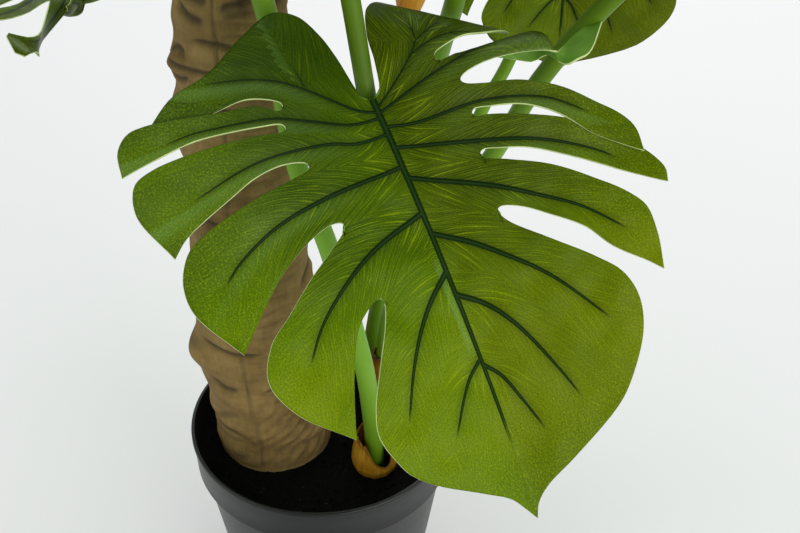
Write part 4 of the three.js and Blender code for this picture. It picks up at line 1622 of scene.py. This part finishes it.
@dataclass
class Trunk:
    """A wrapped pole with a swollen foot, knots, leaf scars, creases and an upright seam."""

    x: float = -38.0
    y: float = 7.0
    foot: float = 108.0
    soil: float = 138.0
    top: float = 600.0
    foot_radius: float = 38.5
    top_radius: float = 30.0
    swell_height: float = 0.5
    swell_rise: float = 22.0
    swell_spread: float = 20.0
    ring_height: float = 0.8
    ring_gap: float = 27.0
    ring_sway: float = 7.0
    ring_turn: float = 90.0
    fade_in: float = 14.0
    fade_out: float = 26.0
    bow: float = -3.5
    lean: float = 4.0
    seam_turn: float = 260.0
    seam_width: float = 0.028
    fan_turn: float = 310.0
    fan_pitch: float = 10.0
    rib_offset: float = 0.35
    rib_pitch: float = 8.5
    scattered: int = 30
    scatter_start: float = 166.0
    scatter_rise: float = 14.4
    scatter_turn: float = 152.0
    deepest: float = -2.4
    highest: float = 2.2
    crown: float = 0.012
    dome: float = 1.4
    rows: int = 400
    sides: int = 150
    knots: Sequence[Knot] = (
        Knot(224, 200, 8.5, 16), Knot(395, 185, 4.5, 18), Knot(505, 320, 4, 15),
        Knot(438, 208, 4.5, 12), Knot(330, 60, 4, 16), Knot(450, 120, 4, 15), Knot(262, 345, 3.5, 14),
    )
    marks: Sequence[Scar] = (
        Scar(469, 4.05, 0.38, 3, -10, 2.8), Scar(479, 4.15, 0.34, 2, -5, 2.6),
        Scar(478, 4.89, 0.26, -2, 3, 2.4), Scar(473, 5.85, 0.40, 2, 2, 3.0),
        Scar(455, 4.50, 0.45, -2, -4, 1.7), Scar(447, 3.72, 0.24, -6, 6, 2.2),
        Scar(428, 3.75, 0.30, 7, 0, 2.2), Scar(206, 4.10, 0.34, 3, -4, 1.8),
        Scar(300, 4.95, 0.5, 3, 5, 2.2),
    )

    def scars(self) -> list[Scar]:
        """The photographed scars, and others scattered up the trunk, each about opposite the one below.

        Returns:
            All the scars.
        """
        chance = random.Random(11)
        made = list(self.marks)
        for step in range(self.scattered):
            z = self.scatter_start + self.scatter_rise * step + chance.uniform(-4, 4)
            turn = math.radians(200 + self.scatter_turn * step) + chance.uniform(-0.4, 0.4)
            made.append(Scar(z, turn, chance.uniform(0.45, 0.95), chance.uniform(-7, 8),
                             chance.uniform(-6, 6), chance.uniform(1.4, 2.6)))
        return made

    def radius(self, z: np.ndarray, turn: np.ndarray) -> np.ndarray:
        """Radius as in the CAD source.

        Args:
            z: Heights.
            turn: Angles round the trunk.

        Returns:
            One radius for each point.
        """
        wide = self.foot_radius + self.swell_height
        plain = wide + (self.top_radius - wide) * smooth((z - self.soil) / (self.top - self.soil), 0, 1)
        swell = self.swell_height * np.exp(-(((z - self.soil - self.swell_rise) / self.swell_spread) ** 2))
        level = z + self.ring_sway * np.sin(turn + z / self.ring_turn)
        ring = self.ring_height * np.sin(2 * math.pi * level / self.ring_gap)
        knots = np.zeros_like(z)
        for knot in self.knots:
            away = turned(turn, math.radians(knot.turn)) * plain
            knots += knot.size * np.exp(-(away**2 + (z - knot.z) ** 2) / knot.spread**2)
        begun = smooth(z, self.soil, self.soil + self.fade_in)
        fade = begun * (1 - smooth(z, self.top - self.fade_out, self.top))
        shaped = plain + fade * (swell + ring + knots)
        return np.where(z <= self.soil, self.foot_radius, shaped)

    def crumple(self, z: np.ndarray, turn: np.ndarray) -> tuple[np.ndarray, np.ndarray]:
        """Small creases all over, deeper and slanting at the foot.

        Args:
            z: Heights.
            turn: Angles round the trunk.

        Returns:
            The relief in millimetres and the painted shade in the creases' valleys.
        """
        low = np.maximum(0.0, 1 - (z - self.soil) / 110)
        skew = z * 0.9 + 26 * low * np.sin(turn - 0.6)
        creases = ring_noise(turn, 1.5, skew / 9.5) * (0.75 + 0.7 * low)
        spots = zip(1.1 * np.cos(turn), 1.1 * np.sin(turn), z / 34)
        ridges = [noise.fractal(Vector(spot), 1.0, 2.0, 3) for spot in spots]
        return 0.9 * creases + 0.8 * np.array(ridges), np.clip(-creases - 0.22, 0.0, 0.5)

    @staticmethod
    def cut(scar: Scar, z: np.ndarray, turn: np.ndarray) -> tuple[np.ndarray, np.ndarray]:
        """Cut one scar, a groove with a lip below it.

        Args:
            scar: The scar.
            z: Heights.
            turn: Angles round the trunk.

        Returns:
            The relief in millimetres and how dark each point is.
        """
        gap = turned(turn, scar.turn)
        share = np.abs(gap) / scar.half_width
        line = z - (scar.z + scar.tilt * gap + scar.sag * share**2)
        reach = 1 - smooth(share, 0.55, 1.0)
        groove = np.exp(-((line / scar.thick) ** 2)) * reach
        lip = np.exp(-(((line + 2.2 * scar.thick) / (1.5 * scar.thick)) ** 2)) * reach
        return 0.9 * lip - 1.5 * groove, 0.85 * groove

    def fan(self, z: np.ndarray, away: np.ndarray) -> tuple[np.ndarray, np.ndarray]:
        """Slanting folds that fan out at the foot.

        Args:
            z: Heights.
            away: Angles from the fan's middle.

        Returns:
            The relief in millimetres and the painted shade in the folds' valleys.
        """
        place = np.exp(-((away / 0.75) ** 2)) * (1 - smooth(z, self.soil + 25, self.soil + 95))
        fold = np.sin(2 * math.pi * (z - 34 * away + 3 * np.sin(z / 9)) / self.fan_pitch)
        return 1.1 * place * fold, 0.55 * place * np.clip(-fold - 0.2, 0.0, 1.0)

    def ribs(self, z: np.ndarray, turn: np.ndarray, away: np.ndarray) -> tuple[np.ndarray, np.ndarray]:
        """Level ribs above the fan.

        Args:
            z: Heights.
            turn: Angles round the trunk.
            away: Angles from the fan's middle.

        Returns:
            The relief in millimetres and the painted shade between the ribs.
        """
        place = np.exp(-(((away + self.rib_offset) / 0.4) ** 2)) * smooth(z, self.soil + 50, self.soil + 90)
        rib = np.sin(2 * math.pi * (z + 2.5 * np.sin(z / 13 + 4 * turn)) / self.rib_pitch)
        return 0.55 * place * rib, 0.4 * place * np.clip(-rib - 0.35, 0.0, 1.0)

    def seam(self, z: np.ndarray, turn: np.ndarray) -> tuple[np.ndarray, np.ndarray]:
        """The upright seam, a groove beside a raised overlap.

        Args:
            z: Heights.
            turn: Angles round the trunk.

        Returns:
            The relief in millimetres and how dark each point is.
        """
        drift = turned(turn, math.radians(self.seam_turn)) + 0.05 * np.sin(z / 37)
        groove = np.exp(-((drift / self.seam_width) ** 2))
        return 0.5 * smooth(drift, -0.25, 0.0) * (drift < 0) - 0.7 * groove, 0.5 * groove

    def relief(self, z: np.ndarray, turn: np.ndarray) -> tuple[np.ndarray, np.ndarray]:
        """Creases, scars, folds, ribs and seam together.

        Args:
            z: Heights.
            turn: Angles round the trunk.

        Returns:
            The relief in millimetres and how dark each point is: the scars and the seam, and painted shade in
            the creases, folds and ribs.
        """
        relief, dark = self.crumple(z, turn)
        away = turned(turn, math.radians(self.fan_turn))
        forms = [self.cut(scar, z, turn) for scar in self.scars()]
        for raised, shade in (*forms, self.fan(z, away), self.ribs(z, turn, away), self.seam(z, turn)):
            relief = relief + raised
            dark = np.maximum(dark, shade)
        fade = smooth(z, self.soil - 4, self.soil + 8) * (1 - smooth(z, self.top - 8, self.top))
        return np.clip(relief, self.deepest, self.highest) * fade, dark * fade

    def centre(self, z: np.ndarray) -> np.ndarray:
        """Middle line, slightly bowed above the soil and leaning at the foot.

        Args:
            z: Heights.

        Returns:
            Rows of x and y.
        """
        bow = self.bow * np.sin(math.pi * (z - self.foot) / (self.top - self.foot))
        lean = self.lean * (1 - smooth(z, self.soil, self.soil + 85))
        x = self.x + bow * smooth(z, self.soil, self.soil + 60) + lean
        return np.stack([x, np.full_like(z, self.y)], 1)

    def build(self, finish: bpy.types.Material) -> bpy.types.Object:
        """Build the trunk.

        Args:
            finish: Its material.

        Returns:
            The finished piece.
        """
        bm = bmesh.new()
        # Darkness of the scars and the seam and painted shade of the creases, folds and ribs, for the finish
        scar_seam_and_crease_shade = bm.verts.layers.float.new("Crease")
        kept = {}

        def place(s: np.ndarray, t: np.ndarray) -> np.ndarray:
            """Wrap the sheet from the foot up and in over the top.

            Args:
                s: Shares out or along.
                t: Shares across or round.

            Returns:
                Rows of x, y and z.
            """
            upright = np.clip(s / (1 - self.crown), 0.0, 1.0)
            inward = np.clip((s - (1 - self.crown)) / self.crown, 0.0, 1.0)
            z = self.foot + (self.top - self.foot) * upright
            turn = 2 * math.pi * t
            raised, dark = self.relief(z, turn)
            kept["dark"] = dark
            reach = (self.radius(z, turn) + raised) * (1 - inward)
            spot = self.centre(z)
            dome = z + self.dome * (np.sqrt(np.clip(1 - (1 - inward) ** 2, 0, 1)) - 1)
            return np.stack([spot[:, 0] + reach * np.cos(turn), spot[:, 1] + reach * np.sin(turn), dome], 1)

        verts, _ = mapped_grid(bm, self.rows, self.sides, place)
        for vert, dark in zip(verts, kept["dark"]):
            vert[scar_seam_and_crease_shade] = dark
        bmesh.ops.remove_doubles(bm, verts=bm.verts, dist=WELD / 2)
        bmesh.ops.holes_fill(bm, edges=bm.edges, sides=self.sides)
        piece = make_object("trunk_wrap", bm, [finish])
        settle(piece, Slot.TRUNK, "trunk")
        return piece


# Pot and fill


@dataclass
class Pot:
    """A tapered nursery pot that steps out to a tall lip, with drain holes in its floor."""

    height: float = 155.0
    rim_radius: float = 90.0
    lip_height: float = 28.0
    lip_step: float = 4.0
    base_radius: float = 65.0
    wall: float = 2.4
    floor: float = 3.0
    drain_count: int = 6
    drain_radius: float = 5.0
    drain_ring: float = 46.0
    drill: float = 12.0
    crisp: float = 38.0
    turns: int = 144

    @property
    def shoulder(self) -> float:
        """Height where the wall steps out."""
        return self.height - self.lip_height

    def wall_radius(self, z: float) -> float:
        """Outer radius of the tapered wall at a height."""
        top = self.rim_radius - self.lip_step - 2
        return self.base_radius + (top - self.base_radius) * z / self.shoulder

    def profile(self) -> list[Spot]:
        """The turned outline from the middle of the underside round to the middle of the floor.

        Returns:
            Pairs of radius and height.
        """
        base, rim, wall = self.base_radius, self.rim_radius, self.wall
        shoulder, top, step = self.shoulder, self.height, self.rim_radius - self.lip_step
        underside = [(0, 1.2), (base - 8, 1.2), (base - 7, 0), (base - 2, 0), (base - 0.5, 0.5), (base, 2)]
        moulding_line = [(self.wall_radius(60), 60), (self.wall_radius(61), 60.6)]
        under_lip = [(self.wall_radius(shoulder - 2), shoulder - 2),
                     (self.wall_radius(shoulder - 1) + 0.6, shoulder - 0.6),
                     (step + 1.4, shoulder - 0.2), (step + 2, shoulder + 0.5)]
        bead = [(rim - 1, top - 4.4), (rim, top - 3), (rim, top - 0.9), (rim - 0.4, top - 0.25),
                (rim - 1, top), (rim - wall + 0.4, top), (rim - wall, top - 0.5), (rim - wall - 0.2, top - 4)]
        ledge = [(step - wall + 1, shoulder + wall), (self.wall_radius(shoulder) - wall, shoulder - 1)]
        floor = [(self.wall_radius(self.floor) - wall, self.floor), (0, self.floor)]
        return [*underside, *moulding_line, *under_lip, *bead, *ledge, *floor]

    def build(self, finish: bpy.types.Material) -> bpy.types.Object:
        """Build the pot.

        Args:
            finish: Its material.

        Returns:
            The finished piece.
        """
        bm = bmesh.new()
        points = [bm.verts.new((radius * MM, 0.0, z * MM)) for radius, z in self.profile()]
        edges = [bm.edges.new(pair) for pair in zip(points, points[1:])]
        bmesh.ops.spin(bm, geom=[*points, *edges], cent=(0, 0, 0), axis=(0, 0, 1), dvec=(0, 0, 0),
                       angle=2 * math.pi, steps=self.turns, use_merge=True)
        bmesh.ops.remove_doubles(bm, verts=bm.verts, dist=WELD)
        piece = make_object("nursery_pot", bm, [finish])
        self._drill(piece)
        piece.data.set_sharp_from_angle(angle=math.radians(self.crisp))
        settle(piece, Slot.POT, "pot")
        return piece

    def _drill(self, piece: bpy.types.Object) -> None:
        """Cut the drain holes through the floor.

        Args:
            piece: The pot without holes.
        """
        bm = bmesh.new()
        for step in range(self.drain_count):
            angle = 2 * math.pi * step / self.drain_count
            made = bmesh.ops.create_cone(bm, cap_ends=True, segments=24, radius1=self.drain_radius * MM,
                                         radius2=self.drain_radius * MM, depth=self.drill * MM)["verts"]
            reach = (self.drain_ring * math.cos(angle), self.drain_ring * math.sin(angle), self.floor / 2)
            bmesh.ops.translate(bm, verts=made, vec=Vector(reach) * MM)
        cutter = make_object("drains", bm, [])
        cut = piece.modifiers.new("drains", "BOOLEAN")
        cut.operation = "DIFFERENCE"
        cut.solver = "EXACT"
        cut.object = cutter
        holed = bpy.data.meshes.new_from_object(piece.evaluated_get(bpy.context.evaluated_depsgraph_get()))
        piece.modifiers.clear()
        piece.data = holed
        bpy.data.objects.remove(cutter)


@dataclass
class Fill:
    """The crumbly black surface in the pot, uneven and slightly heaped round what stands in it."""

    top: float = 134.4
    radius: float = 86.0
    flat_share: float = 0.96
    skirt: float = 4.0
    sunk: float = 1.2
    heap: float = 1.1
    heap_size: float = 22.0
    crumble: float = 0.55
    crumble_size: float = 3.1
    edge_drop: float = 2.0
    edge_width: float = 12.0
    crumb_ring: float = 82.0
    rings: int = 90
    turns: int = 220
    crumbs: int = 500

    def level(self, x: float, y: float) -> float:
        """Height of the surface at a place.

        Args:
            x: The place's x.
            y: The place's y.

        Returns:
            The height.
        """
        coarse = noise.fractal(Vector((x / self.heap_size, y / self.heap_size, 4.0)), 1.0, 2.0, 4)
        fine = noise.noise(Vector((x / self.crumble_size, y / self.crumble_size, 9.0)))
        edge = smooth(math.hypot(x, y), self.radius - self.edge_width, self.radius)
        return self.top - self.sunk + self.heap * coarse + self.crumble * fine - self.edge_drop * edge

    def build(self, finish: bpy.types.Material) -> bpy.types.Object:
        """Build the fill.

        Args:
            finish: Its material.

        Returns:
            The finished piece.
        """
        bm = bmesh.new()

        def place(s: np.ndarray, t: np.ndarray) -> np.ndarray:
            """Spread the sheet over the pot and down its wall.

            Args:
                s: Shares out or along.
                t: Shares across or round.

            Returns:
                Rows of x, y and z.
            """
            turn = 2 * math.pi * t
            reach = self.radius * np.minimum(s / self.flat_share, 1.0)
            x, y = reach * np.cos(turn), reach * np.sin(turn)
            z = np.array([self.level(a, b) for a, b in zip(x, y)])
            down = self.skirt * smooth(s, self.flat_share, 1.0)
            return np.stack([x, y, z - down], 1)

        mapped_grid(bm, self.rings, self.turns, place)
        bmesh.ops.remove_doubles(bm, verts=bm.verts, dist=WELD)
        bmesh.ops.holes_fill(bm, edges=bm.edges, sides=self.turns)
        loose = bmesh.new()
        chance = random.Random(5)
        for _ in range(self.crumbs):
            self._add_crumb(loose, chance)
        crumbs = bpy.data.meshes.new("crumbs")
        loose.to_mesh(crumbs)
        loose.free()
        bm.from_mesh(crumbs)
        bpy.data.meshes.remove(crumbs)
        piece = make_object("potting_fill", bm, [finish])
        settle(piece, Slot.FILL, "fill")
        return piece

    def _add_crumb(self, bm: bmesh.types.BMesh, chance: random.Random) -> None:
        """Drop one small lump on the surface.

        Args:
            bm: The bmesh to add to.
            chance: The random draws.
        """
        reach, turn = self.crumb_ring * math.sqrt(chance.random()), chance.uniform(0, 2 * math.pi)
        x, y = reach * math.cos(turn), reach * math.sin(turn)
        size = chance.uniform(0.5, 1.5)
        made = bmesh.ops.create_icosphere(bm, subdivisions=1, radius=size * MM)["verts"]
        for vert in made:
            vert.co *= chance.uniform(0.7, 1.2)
        bmesh.ops.scale(bm, verts=made, vec=(1.0, chance.uniform(0.7, 1.3), chance.uniform(0.5, 0.9)))
        bmesh.ops.translate(bm, verts=made, vec=Vector((x, y, self.level(x, y) + 0.25 * size)) * MM)


# The twelve leaves


CROWN_RING = 19.0
CROWN_FOOT = 588.3
FILL_TOP = 135.0
STALK_FOOT = 111.3
CROWN_RISE = 8.0
SOIL_RISE = 12.0


def crown_start(turn: float, lean: float = 0.0) -> list[Point]:
    """Where a stalk stands on the trunk's top.

    Args:
        turn: Its place round the crown, in degrees.
        lean: How much higher its first free point is.

    Returns:
        Its first two route points.
    """
    angle = math.radians(turn)
    x, y = Trunk.x + CROWN_RING * math.cos(angle), Trunk.y + CROWN_RING * math.sin(angle)
    return [(x, y, CROWN_FOOT), (x, y, Trunk.top + CROWN_RISE + lean)]


def soil_start(x: float, y: float) -> list[Point]:
    """The first two route points of a stalk that stands in the pot."""
    return [(x, y, STALK_FOOT), (x, y, FILL_TOP + SOIL_RISE)]


TURNED_LOBE = Twist(0.45, 0.58, (-0.86, 0.51), (
    Station(-5, 65, 14),
    Station(-2, 76, 34, 15, -175),
    Station(1, 86, 38, 15, -190),
    Station(4, 96, 9, -50, -60, -3),
    Station(2, 102, 9, -190, 0, -8),
    Station(-3, 112, 24, -218, 0, -15),
    Station(-8, 124, 27, -216, 0, -19),
    Station(-13, 137, 8, -216, 0, -20),
))
SCROLLED_LOBE = Twist(0.05, 0.3, (-1, 0.1), (
    Station(-8, 6, 30),
    Station(-10, 14, 44, -20, -150),
    Station(-12, 24, 44, -30, -230),
    Station(-13, 34, 36, -30, -240),
    Station(-12, 42, 12, -30, -200),
))
HOOKED_LOBE = Twist(0.25, 0.5, (-1, 0), (
    Station(5, 38, 12),
    Station(1, 54, 20, -60),
    Station(-3, 72, 22, -85),
    Station(-5, 90, 20, -85),
    Station(2, 102, 20, -50),
    Station(17, 110, 28, -12),
    Station(4, 126, 8),
))


def leaves() -> list[Leaf]:
    """The leaves as in the CAD source, the photographed one first.

    Returns:
        The twelve leaves.
    """
    draw = repeatable(20)

    def plain() -> LeafShape:
        """The next leaf's own departures from flat."""
        arch, side, fold = 0.8 + 0.5 * draw(), 0.8 + 0.6 * draw(), 0.8 + 0.4 * draw()
        return LeafShape(arch, side, fold, wave=3 + 3 * draw(), phase=6 * draw())

    return [
        Leaf("front", 1.0, (42, -90.3, 450), 5.6,
             [*crown_start(-45), (-16, -22, 640), (4, -48, 625), (20, -62, 560), (29, -68, 500)],
             axes=((0.402, -0.691, -0.6), (0.155, -0.595, 0.789)),
             bends={(Side.LEFT, 0): -5, (Side.RIGHT, 2): 3.5}, twists={(Side.RIGHT, 1): TURNED_LOBE},
             curl=Curl(Side.RIGHT, (-44.5, 14.5), (0.6, 0.8), 20), fine=True),
        Leaf("low_left", 0.92, (-125, -125, 735), 6.4,
             [*soil_start(36, -26), (34, -38, 200), (30, -50, 250), (11.5, -49, 337), (-3.7, -44, 386),
              (-17, -43, 489), (-48, -72, 610)],
             compass=-130, droop=32, roll=8, shape=plain()),
        Leaf("low_front_right", 0.9, (180, -110, 770), 6.0,
             [*soil_start(30, 58), (52, 42, 300), (74, 0, 430), (82, -28, 482), (108, -58, 610)],
             compass=-48, droop=28, roll=-6, shape=plain(), mirrored=True),
        Leaf("low_right", 0.95, (270, -50, 610), 6.0,
             [*soil_start(42, 36), (48, 30, 230), (109, 0, 370), (132, -22, 434), (164, -30, 484)],
             compass=-12, droop=32, roll=5, shape=plain()),
        Leaf("right_hanging", 0.78, (149, 60, 540), 4.6,
             [*soil_start(56, 48), (80, 70, 270), (106.5, 86, 347), (124.5, 98, 380), (146, 110, 460),
              (151, 106, 515)],
             axes=((0.02, 0.035, -1), (-0.02, -1, -0.035)), shape=LeafShape(arch=0.65)),
        Leaf("tall_front", 1.0, (62, -70, 880), 5.4,
             [*soil_start(14, 68), (38, 58, 300), (57, 28, 440), (62, 18, 500), (72, -10, 680)],
             compass=-78, droop=22, roll=4, shape=plain()),
        Leaf("left_drooping", 0.762, (-167, 149, 410), 5.2,
             [*crown_start(190), (-72, 10, 650), (-90, 50, 610), (-105, 95, 500), (-125, 135, 425),
              (-150, 150, 398)],
             compass=175.2, droop=-22.8, roll=-10.8, shape=plain(),
             twists={(Side.RIGHT, 0): SCROLLED_LOBE, (Side.RIGHT, 1): HOOKED_LOBE}),
        Leaf("back_left", 0.9, (-190, 165, 740), 5.2,
             [*crown_start(140), (-78, 50, 680), (-135, 110, 740)],
             compass=138, droop=30, roll=6, shape=plain(), mirrored=True),
        Leaf("back", 1.0, (-15, 215, 790), 5.2,
             [*crown_start(90), (-36, 60, 690), (-24, 130, 775)],
             compass=86, droop=32, roll=-5, shape=plain()),
        Leaf("back_right", 0.85, (170, 150, 750), 5.0,
             [*crown_start(40), (10, 40, 690), (95, 95, 745)],
             compass=22, droop=30, roll=6, shape=plain()),
        Leaf("high_left", 0.85, (-165, -5, 925), 5.0,
             [*crown_start(240), (-52, -18, 700), (-95, -14, 860)],
             compass=172, droop=30, roll=8, shape=plain(), mirrored=True),
        Leaf("high_top", 0.75, (10, 60, 1010), 4.6,
             [*crown_start(0, 4), (-14, 18, 700), (-10, 32, 880)],
             compass=40, droop=34, roll=-6, shape=plain()),
    ]


# Studio


@dataclass(frozen=True)
class Lamp:
    """One soft square light that looks at a point."""

    name: str
    at: Point
    aim: Point
    width: float
    watts: float


@dataclass
class Studio:
    """The photograph's camera, a wide pale floor and soft light."""

    camera_at: Point = (0.053, -0.665, 0.795)
    pitch: float = 37.5
    lens: float = 60.0
    sensor: float = 36.0
    floor_radius: float = 24.0
    sky: Colour = (0.90, 0.96, 0.985)
    sky_strength: float = 0.62
    lamps: Sequence[Lamp] = (
        Lamp("key", (0.5, 1.9, 2.6), (0.0, 0.0, 0.45), 2.2, 52.0),
        Lamp("side", (-1.9, -0.6, 1.9), (0.0, 0.0, 0.4), 1.4, 12.0),
        Lamp("front", (1.7, -1.8, 0.9), (0.0, 0.1, 0.15), 1.8, 34.0),
    )

    def camera(self) -> None:
        """Place the camera."""
        data = bpy.data.cameras.new("photo_camera")
        data.lens = self.lens
        data.sensor_width = self.sensor
        made = bpy.data.objects.new("photo_camera", data)
        made.location = self.camera_at
        made.rotation_euler = (math.radians(90.0 - self.pitch), 0.0, 0.0)
        bpy.context.scene.collection.objects.link(made)
        bpy.context.scene.camera = made

    def light(self) -> None:
        """Place the sky and the lamps."""
        scene = bpy.context.scene
        scene.view_settings.view_transform = "Standard"
        scene.world = bpy.data.worlds.new("studio")
        scene.world.use_nodes = True
        background = scene.world.node_tree.nodes["Background"]
        background.inputs["Color"].default_value = (*self.sky, 1.0)
        background.inputs["Strength"].default_value = self.sky_strength
        for lamp in self.lamps:
            data = bpy.data.lights.new(lamp.name, "AREA")
            data.size = lamp.width
            data.energy = lamp.watts
            made = bpy.data.objects.new(lamp.name, data)
            made.location = lamp.at
            made.rotation_euler = (Vector(lamp.aim) - Vector(lamp.at)).to_track_quat("-Z", "Y").to_euler()
            scene.collection.objects.link(made)

    def floor(self) -> None:
        """Lay the wide pale floor."""
        bm = bmesh.new()
        bmesh.ops.create_circle(bm, cap_ends=True, segments=96, radius=self.floor_radius)
        make_object("floor", bm, [FloorFinish().material()], outwards=False)


# The whole plant


def dress_leaves(plants: Sequence[Leaf]) -> None:
    """Build every blade and stem.

    Args:
        plants: The leaves.
    """
    lit, stem = LeafFinish(), StalkFinish().material()
    # The right hanging leaf takes a darker copy of the leaf finish: painted shade
    shaded = LeafFinish("shaded_leaf", middle=((0.052, 0.098, 0.0004), (0.052, 0.082, 0.0004)),
                        bright=((0.100, 0.142, 0.0005), (0.092, 0.120, 0.0005)))
    for leaf in plants:
        Blade(leaf).build(shaded if leaf.name == "right_hanging" else lit)
        Stalk(leaf).build(stem)


def dress_sheaths(plants: Sequence[Leaf]) -> None:
    """Build the papery leaf bases.

    Args:
        plants: The leaves whose stems they wrap.
    """
    by_name = {leaf.name: leaf for leaf in plants}
    paper = SheathFinish().material()
    fresh = SheathFinish("fresh_sheath", (0.300, 0.090, 0.001), (0.620, 0.230, 0.002), (0.820, 0.420, 0.020))
    Sheath("front_foot", by_name["low_left"], [(23, 14), (30, 16), (40, 15), (50, 13), (58, 11.5)],
           opening=-95, opening_depth=0.65, ragged=0.2, seed=3).build(paper)
    Sheath("rear_foot", by_name["low_right"], [(23, 10.6), (38, 10.5), (60, 9.2), (72, 8.4)],
           opening=40, opening_depth=0.3, ragged=0.2, seed=8).build(paper)
    Sheath("upper", by_name["tall_front"], [(345, 7), (356, 9.6), (382, 9.4), (404, 7.6)],
           opening=120, opening_depth=0.3, ragged=0.3, seed=14).build(fresh.material())


def main() -> None:
    """Build the plant piece by piece."""
    logging.basicConfig(level=logging.INFO, format="%(asctime)s %(message)s")
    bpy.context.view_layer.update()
    studio = Studio()
    studio.camera()
    studio.light()
    studio.floor()
    Pot().build(PotFinish().material())
    Fill().build(FillFinish().material())
    Trunk().build(TrunkFinish().material())
    plants = leaves()
    dress_leaves(plants)
    dress_sheaths(plants)


if __name__ == "__main__":
    main()
